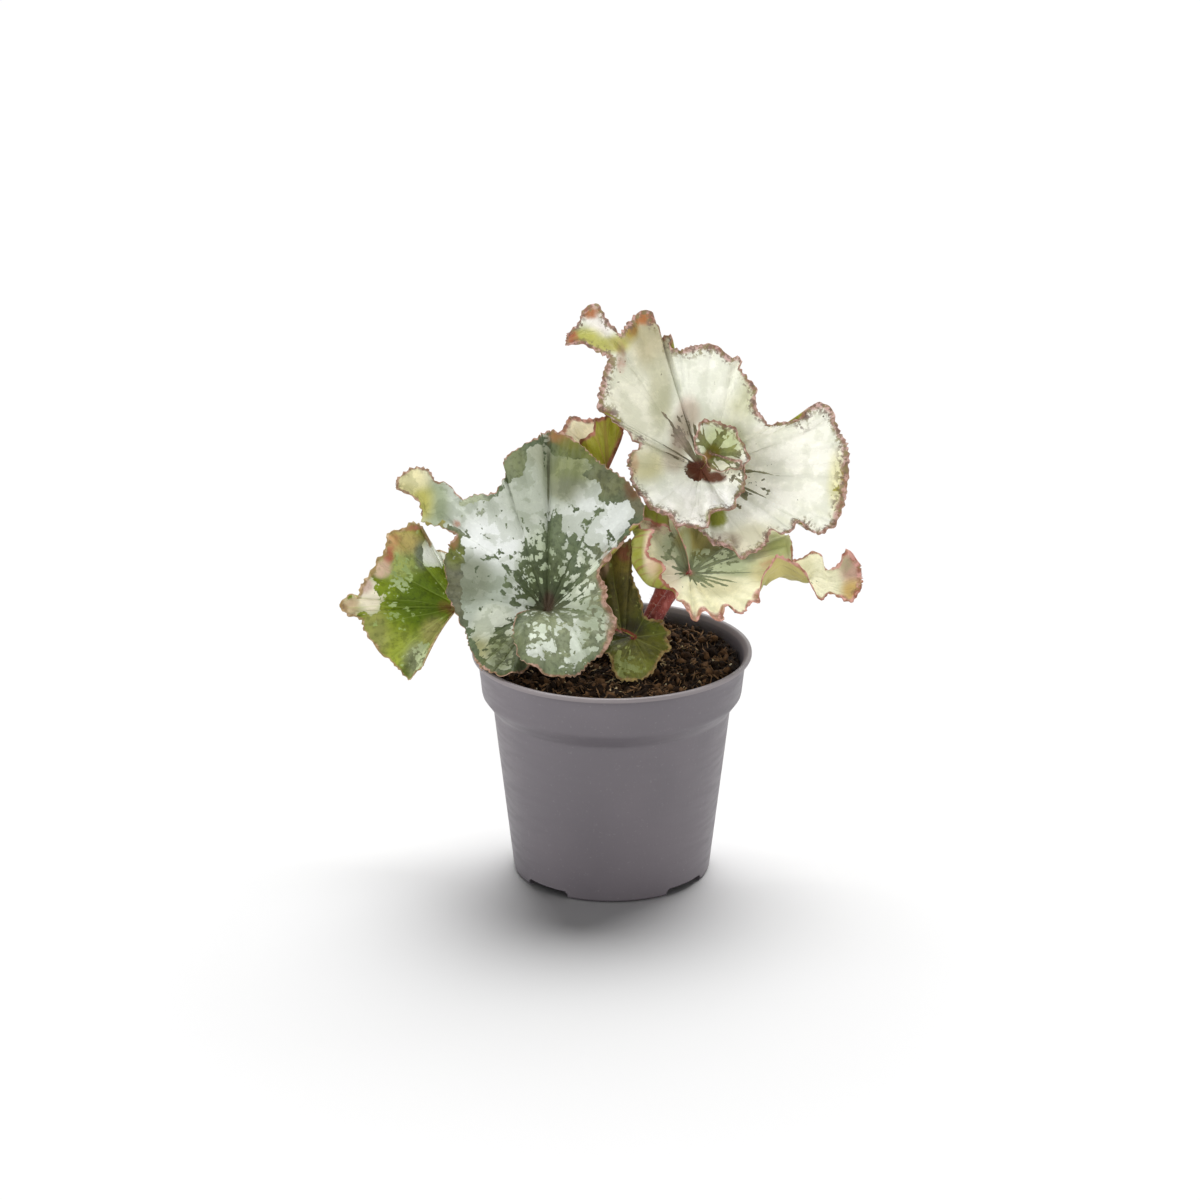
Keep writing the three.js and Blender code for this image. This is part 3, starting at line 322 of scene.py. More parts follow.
class Blade:
    """The middle surface of a leaf, with what its markings need at each vertex: the margin row that
    its rib runs to and how far along the margin that is (row, arc), how far out it is (out: 0 at the
    vein centre, 1 at the margin, 2 at a tongue's tip), the millimetres for each row there (across),
    and its distances along the blade to the vein centre and to the free edge (hub, rim)."""

    def __init__(self, leaf):
        margins, bends, inners = ribs(leaf)
        fine = np.linspace(0, len(margins) - 1, TRACK_STEPS * len(margins))
        length = travelled(along(margins, fine)[None])[0]
        count = int(length[-1] / LEAF_STEP)
        u = np.interp(np.linspace(0, length[-1], count + 1), length, fine)
        arc = np.interp(u, fine, length)
        t = np.linspace(0, 1, LEAF_BANDS + 1)
        grid = bent(*(along(rows, u)[:, None] for rows in (inners, bends, margins)), t[None, :, None])
        ids = np.arange(grid[..., 0].size).reshape(grid.shape[:2])
        faces = grid_faces(ids)
        wave = sum(
            size * np.sin(2 * math.pi * arc / (share * leaf["wave"]) + start)
            for size, share, start in RUFFLES
        )
        reach = np.maximum(0, (t - RUFFLE_FROM) / (1 - RUFFLE_FROM)) ** 1.5
        lift = leaf["ruffle"] * wave[:, None] * reach[None, :]
        flat = grid.reshape(-1, 3)
        points = flat + vertex_normals(flat, faces) * lift.reshape(-1, 1)
        grid = points.reshape(grid.shape)
        whole = np.ones(grid.shape[:2])
        hubs = travelled(grid)
        parts = [(points, u[:, None] * whole, arc[:, None] * whole, t * whole, hubs, steps_across(grid, u))]
        cells = [faces]
        total = len(points)
        for tongue in leaf["tongues"]:
            first, last = (int(np.argmin(abs(u - r))) for r in tongue["rows"])
            span = slice(first, last + 1)
            base = ids[span, -1]
            left = np.vstack([points[base[:1]], tongue["left"]])
            right = np.vstack([points[base[-1:]], tongue["right"]])
            keel = np.array(tongue.get("keel", (left + right) / 2), float)
            steps = int(travelled(keel[None])[0, -1] / LEAF_STEP)
            v = np.linspace(0, 1, last - first + 1)[:, None, None]
            w = np.linspace(0, len(left) - 1, steps + 1)
            sheet = bent(*(along(rows, w)[None] for rows in (left, keel, right)), v)
            fade = (1 - np.linspace(0, 1, steps + 1)) ** 2
            sheet = sheet + fade[None, :, None] * (points[base] - sheet[:, 0])[:, None]
            fresh = total + np.arange(steps * len(base)).reshape(len(base), steps)
            cells.append(grid_faces(np.hstack([base[:, None], fresh])))
            whole = np.ones((len(base), steps))
            parts.append((
                sheet[:, 1:], u[span, None] * whole, arc[span, None] * whole, 1 + w[1:] / w[-1] * whole,
                travelled(sheet, hubs[span, -1:])[:, 1:], steps_across(sheet, u[span])[:, 1:],
            ))
            total += fresh.size
        self.points = np.concatenate([part[0].reshape(-1, 3) for part in parts])
        self.row, self.arc, self.out, self.hub, self.across = (
            np.concatenate([part[n].reshape(-1) for part in parts]) for n in range(1, 6)
        )
        self.faces = np.concatenate(cells)[:, ::leaf["turn"]]
        self.normals = vertex_normals(self.points, self.faces)
        self.edges = np.concatenate([self.faces[:, pair] for pair in ([0, 1], [1, 2], [2, 0])])

        # an edge that no face runs along the other way is on the border
        numbers = self.edges @ np.array([[len(self.points), 1], [1, len(self.points)]])
        self.border = self.edges[~np.isin(numbers[:, 0], numbers[:, 1])]
        inner = np.isin(self.border, ids[:, 0]).all(1)
        self.margin = self.border[~inner]
        self.rim = self.distance_from(np.unique(self.margin))

    def distance_from(self, seeds):
        """Distance of each vertex to the nearest seed, handed on from vertex to vertex, so that it
        doesn't jump across the gap between two folds. Nothing is handed on past RIM_REACH."""
        source = np.full(len(self.points), -1)
        source[seeds] = seeds
        away = np.full(len(self.points), float(RIM_REACH))
        away[seeds] = 0
        one, two = np.concatenate([self.edges, self.edges[:, ::-1]]).T
        while True:
            known = source[one] >= 0
            far = np.full(len(one), np.inf)
            gap = self.points[two[known]] - self.points[source[one[known]]]
            far[known] = np.linalg.norm(gap, axis=1)
            better = np.flatnonzero(far < away[two] - 1e-6)
            if not len(better):
                return away
            order = better[np.argsort(-far[better])]
            away[two[order]] = far[order]
            source[two[order]] = source[one[order]]

    def outward(self, edges):
        """The way from the blade to beyond these of its edges, for their vertices."""
        ways = np.zeros_like(self.points)
        side = np.cross(self.points[edges[:, 1]] - self.points[edges[:, 0]], self.normals[edges[:, 0]])
        for k in range(2):
            np.add.at(ways, edges[:, k], side)
        return unit(ways)

    def skin(self, thickness):
        """A closed skin round the blade, as points and faces: the upper face, the under face and a
        rounded edge between them. Also the vertices of the edge."""
        count = len(self.points)
        edge = np.unique(self.border)
        half = 0.5 * thickness[:, None]
        number = np.full(count, -1)
        number[edge] = 2 * count + np.arange(len(edge))
        points = np.concatenate([
            self.points + half * self.normals, self.points - half * self.normals,
            (self.points + half * self.outward(self.border))[edge],
        ])
        p, q = self.border.T
        low, high = number[p], number[q]
        faces = np.concatenate([self.faces, self.faces[:, ::-1] + count] + [
            np.stack(face, -1) for face in (
                (q, p, low), (q, low, high), (high, low, p + count), (high, p + count, q + count),
            )
        ])
        return points, faces, edge


# Small building helpers

def add_piece(name, points, faces, materials, node=None, slot=None):
    """A mesh piece from points in millimetres in the row's frame."""
    mesh = bpy.data.meshes.new(name)
    corners = [[int(v) for v in face] for face in faces]
    mesh.from_pydata((np.asarray(points, float) * MM).tolist(), [], corners)
    mesh.shade_smooth()
    for material in materials:
        mesh.materials.append(material)
    piece = put_in_scene(name, mesh)
    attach(piece, "root")
    if node:
        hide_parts(node)
    return piece


def ring_faces(rings, sides):
    """Quads between rings of sides points each, one after the other."""
    r, s = np.meshgrid(np.arange(rings - 1), np.arange(sides), indexing="ij")
    a = r * sides + s
    b = r * sides + (s + 1) % sides
    return np.stack([a, b, b + sides, a + sides], -1).reshape(-1, 4)


def closed(rings, first, last):
    """A closed skin of rings, with a middle point in the first and in the last of them."""
    sides = rings.shape[1]
    points = np.concatenate([rings.reshape(-1, 3), [first], [last]])
    faces = ring_faces(len(rings), sides).tolist()
    start = (len(rings) - 1) * sides
    for k in range(sides):
        faces.append([len(points) - 2, (k + 1) % sides, k])
        faces.append([len(points) - 1, start + k, start + (k + 1) % sides])
    return points, faces


def lathed(profile, sides):
    """Rings round the upright axis, for each radius and height of a profile."""
    turn = np.linspace(0, 2 * math.pi, sides, endpoint=False)
    return np.array([np.stack([r * np.cos(turn), r * np.sin(turn), np.full(sides, float(z))], -1)
                     for r, z in profile])


def tube(path, radii, sides):
    """A round closed tube along a path: its points and faces."""
    path = np.asarray(path, float)
    ahead = unit(np.gradient(path, axis=0))
    normal = np.cross(ahead[0], (0.3, 0.9, 0.2))
    turn = np.linspace(0, 2 * math.pi, sides, endpoint=False)[:, None]
    rings = []
    for middle, radius, step in zip(path, radii, ahead):
        normal = normal - step * normal.dot(step)
        normal = normal / np.linalg.norm(normal)
        rings.append(middle + radius * (np.cos(turn) * normal + np.sin(turn) * np.cross(step, normal)))
    return closed(np.array(rings), path[0], path[-1])


def gather(parts):
    """Several (points, faces) as one."""
    points, faces, start = [], [], 0
    for some, cells in parts:
        points.append(some)
        faces += [[start + v for v in cell] for cell in cells]
        start += len(some)
    return np.concatenate(points), faces


# Materials
# Plain colours are as seen, 0 to 255. Sizes of noise and of cells are millimetres.

def srgb(r, g, b):
    """A colour as seen, as the shader's linear colour."""
    values = [v / 255 for v in (r, g, b)]
    return tuple(v / 12.92 if v <= 0.04045 else ((v + 0.055) / 1.055) ** 2.4 for v in values)


class Value:
    """What a node of a paint gives. Its arithmetic and its short names add further nodes."""

    def __init__(self, paint, socket):
        self.paint, self.socket = paint, socket

    def __add__(self, other):
        return self.paint.calc("ADD", self, other)

    def __sub__(self, other):
        return self.paint.calc("SUBTRACT", self, other)

    def __rsub__(self, other):
        return self.paint.calc("SUBTRACT", other, self)

    def __mul__(self, other):
        return self.paint.calc("MULTIPLY", self, other)

    def step(self, low, high, start=0.0, end=1.0):
        """start below low, end above high, soft between."""
        return self.paint.node("MapRange", "Result", (self, low, high, start, end),
                               interpolation_type="SMOOTHSTEP")

    def mix(self, a, b):
        """Colour a where the value is 0 and b where it is 1."""
        return self.paint.node("Mix", 2, {0: self, 6: a, 7: b}, data_type="RGBA")

    def part(self, n):
        return self.paint.node("SeparateXYZ", n, (self,))

    def scaled(self, by):
        by = by if isinstance(by, tuple) else (by, by, by)
        return self.paint.node("VectorMath", 0, (self, by), operation="MULTIPLY")

    def warped(self, size, by):
        """The vector moved about by noise, so that what is drawn on it gets uneven outlines."""
        noise = self.paint.noise(size, on=self, output="Color")
        return self.paint.node("VectorMath", 0, (noise, (by, by, 0), self), operation="MULTIPLY_ADD")


class Paint:
    """One material, with place as the point on the piece in millimetres."""

    def __init__(self, name, shine, sheen=0.0):
        self.material = bpy.data.materials.new(name)
        self.material.use_nodes = True
        self.nodes = self.material.node_tree.nodes
        self.shader = self.nodes["Principled BSDF"].inputs
        self.put(self.shader["Specular IOR Level"], shine)
        self.put(self.shader["Sheen Weight"], sheen)
        self.place = self.node("TexCoord", "Object").scaled(1 / MM)

    def put(self, socket, value):
        if isinstance(value, Value):
            self.material.node_tree.links.new(value.socket, socket)
        else:
            socket.default_value = (*srgb(*value), 1) if socket.type == "RGBA" else value

    def node(self, kind, output=0, inputs=(), **settings):
        """What a new node of this kind gives. Inputs are in their order or by name or number."""
        node = self.nodes.new("ShaderNode" + kind)
        for key, value in settings.items():
            setattr(node, key, value)
        for key, value in inputs.items() if isinstance(inputs, dict) else enumerate(inputs):
            self.put(node.inputs[key], value)
        return Value(self, node.outputs[output])

    def calc(self, operation, *values):
        return self.node("Math", 0, values, operation=operation)

    def attribute(self, name, output="Fac"):
        return self.node("Attribute", output, attribute_name=name)

    def noise(self, size, detail=2.0, roughness=0.5, on=None, output="Fac"):
        """Soft noise with features about size across, in the units of what it is on."""
        inputs = {"Vector": on or self.place, "Scale": 1 / size, "Detail": detail, "Roughness": roughness}
        return self.node("TexNoise", output, inputs)

    def cells(self, size, on=None, feature="F1"):
        inputs = {"Vector": on or self.place, "Scale": 1 / size}
        return self.node("TexVoronoi", "Distance", inputs, feature=feature)

    def finish(self, colour, roughness, height=None, strength=0.0, distance=0.0):
        """The material, with bumps of this strength and of this distance in metres."""
        self.put(self.shader["Base Color"], colour)
        self.put(self.shader["Roughness"], roughness)
        if height:
            bump = {"Height": height, "Strength": strength, "Distance": distance}
            self.put(self.shader["Normal"], self.node("Bump", 0, bump))
        return self.material


VEIN_FORK = 0.34
NET_CELL = 2.6
LEAF_SHINE = 0.25
LEAF_BUMP, LEAF_BUMP_DEPTH = 0.5, 0.0006


class LeafPaint(Paint):
    """The paint of one face of a leaf, with what its blade says at each point. main and side are the
    millimetres to the nearest main vein and to the nearest of its side veins."""

    def __init__(self, name, sheen, coarse, rough):
        super().__init__(name, LEAF_SHINE, sheen)
        self.polar = self.attribute("polar", "Vector")
        self.hub = self.polar.part(1)
        self.rim = self.attribute("rim")
        phase, span, out = (self.attribute("vein", "Vector").part(n) for n in range(3))
        wander = self.noise(14, 1, on=self.polar)
        turn = self.calc("FRACT", phase + (wander - 0.5) * 0.3)
        near = self.calc("MINIMUM", turn, 1 - turn)
        self.main = near * span
        self.side = self.calc("ABSOLUTE", near - out.step(0.25, 1.0, 0.0, VEIN_FORK)) * span
        self.coarse = self.noise(coarse, 2)
        self.rough = self.noise(rough, 3, 0.6)
        self.ragged = (self.rough - 0.5) * 2
        self.net = self.cells(NET_CELL, self.polar, "DISTANCE_TO_EDGE").step(0, 0.16)


def leaf_top(name, look):
    """The upper face: pale ground broken up by dark blotches along the veins and at the border."""
    paint = LeafPaint(name + "_upper", 0.03, 9, 2.2)
    hub, rim, ragged = paint.hub, paint.rim, paint.ragged

    # how dark the ground is: along the veins near the hub, and in patches towards the rim
    frayed = ragged * look.fray
    away = hub + ragged * 5
    width = away.step(0, look.vein_reach, look.vein_width, 0.0)
    side_width = away.step(0, 0.8 * look.vein_reach, 0.6 * look.vein_width, -0.4)
    along_main = (paint.main - width + frayed).step(-0.4, 0.4, 1.0, 0.0)
    along_side = (paint.side - side_width + frayed).step(-0.3, 0.3, 1.0, 0.0)
    vein = paint.calc("MAXIMUM", along_main, along_side) * paint.attribute("veined")
    border = (rim + ragged * look.border_rag).step(
        0.5 * look.border, 1.2 * look.border, look.border_dark, 0.0)
    cover = paint.attribute("cover") - (vein * look.vein_dark + border)
    wide, tall = look.spot
    streaks = paint.cells(1, paint.polar.warped(3, 3).scaled((1 / wide, 1 / tall, 1)))
    spots = paint.cells(0.9 * wide, paint.place.warped(3, 2.4))
    specks = paint.cells(0.34 * wide, paint.place.warped(1.2, 1.2))
    broken = (streaks * look.streaky + spots * (0.85 - look.streaky) + specks * 0.22 + ragged * 0.34
              + (paint.noise(5, 3) - 0.5) * 0.8)

    # the pale and the dark ground, each uneven in itself
    # the pale and dark colours come from each leaf's patches, some of which are painted shade or painted
    # light
    pale = paint.attribute("pale", "Vector")
    pale = paint.coarse.step(0.4, 0.65, 0.0, 0.4).mix(pale, pale.scaled((0.78, 0.8, 0.74)))
    pale = paint.rough.step(0.48, 0.66, 0.0, 0.5).mix(pale, pale.scaled(1.16))
    sheets = paint.noise(9, 5, 0.62).step(0.485, 0.51, 0.0, look.sheets)
    pale = sheets.mix(pale, pale.scaled((0.72, 0.74, 0.68)))
    dark = paint.attribute("dark", "Vector")
    dark = paint.coarse.step(0.4, 0.62, 0.0, 0.5).mix(dark, dark.scaled((1.5, 1.45, 1.3)))
    dark = paint.rough.step(0.46, 0.66, 0.0, 0.6).mix(dark, dark.scaled(0.5))
    colour = (cover - broken).step(-0.03, 0.05).mix(dark, pale)
    colour = paint.main.step(0.1, 0.45, look.line, 0.0).mix(colour, look.line_colour)
    colour = hub.step(0.8, look.heart, 0.9, 0.0).mix(colour, look.heart_colour)
    uneven = ragged * 0.3 + (paint.coarse - 0.5) * 0.6
    # the tints laid on: the leaf's own flushes of colour, and at some places painted shade
    laid_on = (paint.attribute("tinted") + uneven).step(0.08, 0.9)
    colour = laid_on.mix(colour, paint.attribute("tint", "Vector"))

    # the pink edge, of uneven width, and the darker flecks on it and just inside it
    spread = (paint.noise(7, 2) - 0.5) * 2
    inwards = rim + ragged * 1.1 + spread * look.edge
    reach = paint.calc("MAXIMUM", paint.attribute("edged"), 0.02)
    edge = inwards.step(reach * (look.edge * 0.5), reach * (look.edge * 1.2), 0.9, 0.0)
    edge_colour = paint.noise(2.6, 3).step(0.42, 0.56).mix(look.edge_one, look.edge_two)
    colour = edge.mix(colour, edge_colour)
    depth = look.fleck_depth
    flecked = inwards + spread * depth
    flecked = flecked.step(reach * (0.5 * depth), reach * (1.4 * depth), look.flecks, 0.0)
    fleck_colour = paint.noise(4, 2).step(0.42, 0.58).mix(look.fleck_colour, look.fleck_two)
    colour = (flecked * paint.noise(1.7, 3, 0.6).step(0.47, 0.56)).mix(colour, fleck_colour)

    # the skin: fine pimples over a net of small veins
    height = (paint.main.step(0, 0.8) * 0.5 + paint.side.step(0, 0.6) * 0.25 + paint.net * 0.2
              + paint.cells(0.8) * -0.16)
    roughness = paint.rough.step(0.3, 0.7, 0.42, 0.56)
    return paint.finish(colour, roughness, height, LEAF_BUMP, LEAF_BUMP_DEPTH)


def leaf_under(name, look):
    """The under face: olive, with raised darker veins and a red edge."""
    paint = LeafPaint(name + "_under", 0.05, 8, 1.8)
    colour = paint.coarse.step(0.35, 0.65).mix(look.under, look.under_two)
    colour = paint.rough.step(0.5, 0.75, 0.0, 0.4).mix(colour, look.under_dark)
    thick = paint.hub.step(0, 45, 1.1, 0.35)
    ridge = (paint.main - thick).step(-0.3, 0.4, 0.75, 0.0)
    twig = (paint.side - thick * 0.5).step(-0.2, 0.3, 0.45, 0.0)
    colour = paint.calc("MAXIMUM", ridge, twig).mix(colour, look.under_vein)
    colour = paint.attribute("under_tinted").mix(colour, paint.attribute("under_tint", "Vector"))
    edge = (paint.rim + paint.ragged * 0.8).step(look.edge * 0.4, look.edge * 1.1, 0.9, 0.0)
    edge_colour = paint.noise(5, 2).step(0.4, 0.6).mix(look.edge_one, look.edge_two)
    height = (paint.main.step(0, 1.0) * -0.6 + paint.side.step(0, 0.7) * -0.3 + paint.net * -0.2
              + paint.rough * 0.2)
    return paint.finish(edge.mix(colour, edge_colour), 0.5, height, LEAF_BUMP, LEAF_BUMP_DEPTH)


# How each leaf is marked
# veins are the margin rows at which the main veins end. A patch is x, u, reach in x, reach in u and
# value: a place of the front plane in millimetres, how far the value reaches from it, and the value
# or colour that is laid there over what the leaf has elsewhere. A tint has its strength after its
# colour.
# Some patches paint shade or light on the blade rather than its own markings; each such patch is noted
# where it stands.

PINK = (200, 144, 138)
BROWN_RED = (132, 72, 54)
BASE_LOOK = dict(
    vein_reach=30, vein_width=1.6, vein_dark=0.9, line=0.15, heart=4, heart_colour=(92, 50, 30),
    border=5, border_dark=0.5, border_rag=1.5, spot=(4.5, 6.0), edge=1.3, flecks=0.45, fray=0.5,
    line_colour=(190, 190, 160), fleck_colour=(104, 84, 62), fleck_two=(140, 134, 74), fleck_depth=1.6,
    groove=0.28, puff=0.3, streaky=0.35, sheets=0.2, under=(146, 148, 52), under_two=(160, 160, 84),
    under_dark=(112, 112, 34), under_vein=(140, 104, 62), edge_one=PINK, edge_two=BROWN_RED,
    pale=(220, 220, 200), dark=(110, 120, 90), cover=1.0, veined=1.0, edged=1.0,
)
LOOKS = {}
LOOKS["leaf_front"] = dict(
    veins=(1, 4, 7, 10, 14.5, 19, 23, 27, 29.5, 32, 36, 38.5, 41, 43.5, 46, 48.5), vein_reach=44,
    vein_width=1.3, vein_dark=0.22, line=0.12, border=3.5, border_dark=0.45, border_rag=2.5, edge=0.9,
    edge_one=(184, 146, 130), edge_two=(132, 98, 76), fray=1.1, heart=3, heart_colour=(74, 54, 36),
    line_colour=(120, 132, 100), spot=(4.4, 6), pale=(190, 195, 184), dark=(92, 104, 76), edged=0.25,
    cover=0.84, flecks=0.3, streaky=0.25, sheets=0.6,
    pale_at=(
        # the first four pale patches are painted shade: the silver of the upper blade greyed where it leans
        # away from the light, and darkened to olive right of its crease
        (-37, 74, 11, 22, 172, 178, 162), (-31, 86, 6, 8, 160, 164, 142), (-18, 76, 11, 12, 132, 138, 96),
        (-18, 68, 9, 5, 126, 130, 104), (-52, 45, 14, 11, 226, 229, 225), (-3, 54, 14, 15, 214, 218, 212),
        # the first two patches on this line grey the silver of the left part: painted shade
        (-57, 22, 14, 14, 160, 168, 153), (-62, 30, 8, 8, 150, 158, 140), (-50, 8, 9, 8, 198, 202, 182),
        (-12, 28, 10, 14, 198, 204, 184), (-47, -2, 7, 9, 124, 132, 92), (-57, -1, 5, 6, 150, 150, 108),
        (-50, 13, 7, 6, 196, 201, 184), (-31, 8, 8, 6, 208, 216, 198), (-10, 31, 6, 6, 214, 220, 200),
        (-19, 0, 9, 9, 192, 199, 184), (-7, 10, 6, 14, 168, 177, 153), (-68, 61, 6, 10, 188, 194, 182),
        (-76, 62, 6, 12, 154, 164, 134), (-84, 63, 7, 9, 182, 178, 96), (-88, 74, 9, 6, 232, 224, 176),
        (-90, 68, 5, 3, 214, 206, 150), (-29, 38, 9, 12, 174, 184, 156), (-28, 26, 8, 8, 160, 174, 136),
        # painted shade: grey on the left part of the blade
        (-60, 30, 9, 10, 130, 136, 116),
    ),
    dark_at=(
        (-29, 26, 12, 16, 66, 76, 44), (-28, 18, 7, 6, 54, 56, 32), (-42, 80, 6, 9, 112, 120, 88),
        (-10, 86, 14, 7, 98, 104, 54), (0, 72, 12, 8, 98, 102, 72), (11, 64, 6, 8, 108, 106, 82),
        (-68, 26, 6, 24, 92, 94, 74), (-67, 42, 5, 7, 96, 104, 48), (-47, -2, 9, 10, 70, 78, 38),
        (-24, 4, 16, 12, 120, 128, 98), (-60, 60, 8, 10, 150, 158, 134), (-5, 22, 6, 22, 118, 124, 98),
        (-78, 60, 8, 10, 150, 140, 70),
    ),
    cover_at=(
        (-52, 46, 12, 10, 0.8), (-38, 66, 8, 14, 1.05), (-19, 72, 9, 9, 1), (-82, 68, 14, 12, 2),
        (-32, 36, 15, 17, 0.58), (-16, 38, 10, 14, 0.54), (-27, 42, 7, 14, 0.5), (-24, 50, 3, 8, 0.25),
        (-38, 53, 5, 6, 0.85), (-27, 24, 5, 8, 0.2), (-45, 40, 5, 8, 0.7), (-37, 30, 4, 7, 0.45),
        (-42, 81, 5, 8, -0.1), (-10, 87, 14, 5, -0.1), (-20, 88, 6, 5, -0.1), (0, 76, 9, 6, -0.05),
        (8, 67, 6, 5, 0.12), (12, 60, 4, 8, 0.15), (-1, 65, 4, 4, 0.35), (-12, 52, 8, 8, 0.86),
        (-5.6, 59, 2.6, 2.6, 0.3), (-11.5, 53, 2, 3.4, 0.3), (-16, 45, 2, 4, 0.3), (3, 58, 6, 5, 0.85),
        (-8, 24, 7, 14, 0.62), (-68, 24, 3.5, 24, 0.1), (-67, 41, 4, 5, 0.4), (-47, 0, 7, 9, 0.46),
        (-32, 8, 9, 8, 0.54), (-27, -6, 10, 4, 0.5), (-20, 3, 3.4, 6, 0.26), (-14, 2, 4, 7, 0.75),
        (-7, 8, 6, 12, 0.62), (-22, 14, 12, 5, 0.5), (-39, 0, 2.6, 12, 0.1),
    ),
    edged_at=(
        (-68, 47, 4, 5, 1), (-20, -10, 26, 6, 1), (-55, -8, 8, 6, 1), (-86, 72, 12, 12, 1.2),
        (-67, 53, 3, 3, 1), (-3, 20, 5, 22, 3), (0, 45, 6, 6, 2), (-22, 92, 7, 4, 1),
    ),
    tints=(
        # the first tint is painted shade: a dark line down the crease of the upper blade
        (-27.3, 74, 0.7, 13, 92, 96, 70, 0.9), (-23, 91, 5, 3, 150, 110, 66, 0.8),
        (-16, 88, 7, 3, 112, 112, 50, 0.7), (-27, 20, 2.6, 5, 66, 50, 32, 0.8),
        (-2.5, 30, 2.2, 11, 166, 132, 112, 0.75), (-1, 8, 2.2, 8, 150, 132, 108, 0.6),
        (-67.5, 46, 2.4, 3.6, 140, 96, 58, 0.7), (9, 68, 4, 5, 106, 78, 50, 0.75),
        (-66.5, 53.5, 2, 1.8, 180, 124, 100, 0.6),
    ),
)
LOOKS["leaf_right_high"] = dict(
    veins=(2, 6, 10, 14, 18, 22, 27, 32, 37, 42, 48, 53, 58, 62, 66, 70, 74, 77, 80, 83, 86.5),
    vein_reach=36, vein_width=1.9, vein_dark=1, border=2.2, border_dark=0.3, border_rag=2, edge=1.5,
    flecks=0.8, fleck_depth=2.6, fleck_colour=(112, 92, 80), fleck_two=(132, 122, 78),
    edge_one=(196, 158, 150), edge_two=(140, 100, 82), line=0.05, groove=0.12, puff=0.16,
    pale=(234, 235, 220), dark=(116, 106, 88), veined=0, heart=3,
    pale_at=(
        # the first and third patches on this line are painted light: near white, past the leaf's own cream,
        # on parts of the right lobe that lie in shade
        (74, 78, 26, 26, 250, 249, 236), (97, 70, 4, 14, 232, 228, 184), (62, 66, 14, 14, 252, 251, 240),
        # the last patch on this line is painted shade on the fold of the upper left lobe
        (14, 80, 9, 8, 212, 206, 162), (9, 104, 14, 22, 224, 222, 202), (17, 132, 9, 12, 190, 182, 150),
        (40, 62, 22, 9, 238, 238, 232), (60, 46, 12, 8, 222, 216, 192), (33, 101, 5, 7, 206, 192, 176),
        (27, 82, 5, 6, 198, 188, 168), (47, 88, 9, 9, 206, 214, 168), (47, 78, 9, 4, 228, 226, 204),
        (-5, 141, 6, 7, 250, 244, 238), (-12, 133, 8, 5, 180, 178, 92), (-4, 130, 7, 3.4, 184, 182, 102),
        (3, 131, 5, 4, 184, 178, 104), (8, 137, 3.4, 5, 168, 150, 78), (56, 112, 8, 14, 216, 216, 184),
        # the first patch on this line is painted shade: grey-green beside the ridge of the upper left fold
        (21, 110, 5, 16, 192, 190, 162), (30, 93, 5, 8, 170, 160, 140), (47, 118, 9, 12, 244, 244, 230),
        # the last patch is painted light in the same way, on the lower blade
        (36, 58, 20, 8, 246, 244, 236), (50, 62, 8, 6, 254, 253, 248),
    ),
    dark_at=(
        # (38, 76) is the dark red-brown heart at the vein centre and, partly, painted shade where the blade
        # runs under the coil
        (64, 70, 12, 12, 130, 130, 104), (38, 76, 9, 6, 78, 38, 20), (30, 90, 8, 14, 112, 104, 86),
        (97, 70, 6, 14, 164, 158, 80), (46, 86, 9, 9, 134, 140, 84), (47, 96, 10, 4, 104, 106, 66),
    ),
    cover_at=(
        (56, 66, 3, 6, 0.45), (63, 70, 5, 6, 0.72), (97, 70, 4, 12, 0.8), (30, 92, 5, 10, 0.62),
        (37, 76, 6, 4, 0.1), (3, 125, 4, 10, 0.85), (20, 60, 8, 5, 0.85), (52, 74, 6, 3, 0.6),
        (46, 86, 8, 8, 0.8),
    ),
    veined_at=((27, 98, 7, 14, 1), (35, 88, 6, 8, 0.9), (64, 74, 9, 10, 1), (46, 86, 9, 9, 0.6)),
    edged_at=(
        (29, 58, 18, 6, 1.9), (52, 45, 12, 6, 1.7), (97, 72, 6, 20, 2.2), (88, 98, 10, 8, 1.8),
        (-2, 112, 6, 16, 1.9), (44, 126, 18, 6, 1.7), (62, 110, 6, 10, 1.5), (10, 138, 8, 8, 1.4),
        (46, 78, 8, 5, 0.3),
    ),
    tints=(
        # the first two tints: the red-brown heart at the vein centre, and painted shade under the coil's
        # rim
        (37, 78, 5, 3.5, 84, 40, 22, 0.92), (44, 73.5, 6, 2.6, 92, 50, 28, 0.85),
        (43.5, 84.5, 3.4, 3.6, 122, 118, 40, 0.85), (41, 83, 2, 2, 150, 106, 56, 0.8),
        (14, 142, 5, 3.4, 172, 112, 66, 0.85), (9, 138, 2.4, 4, 150, 110, 58, 0.6),
        (9.5, 80, 2.2, 6, 194, 156, 122, 0.5), (4, 126, 2.4, 7, 176, 134, 118, 0.45),
        (-17, 133, 3, 4, 160, 86, 60, 0.7), (29, 91, 4, 6, 160, 144, 130, 0.5),
        (45, 56, 4.6, 4.6, 140, 144, 60, 0.92), (-10, 145, 4.4, 3.4, 172, 112, 72, 0.8),
        (48, 46, 8, 4, 150, 132, 116, 0.5),
    ),
    under_tints=((-12, 134, 12, 8, 190, 184, 92, 0.9),),
)
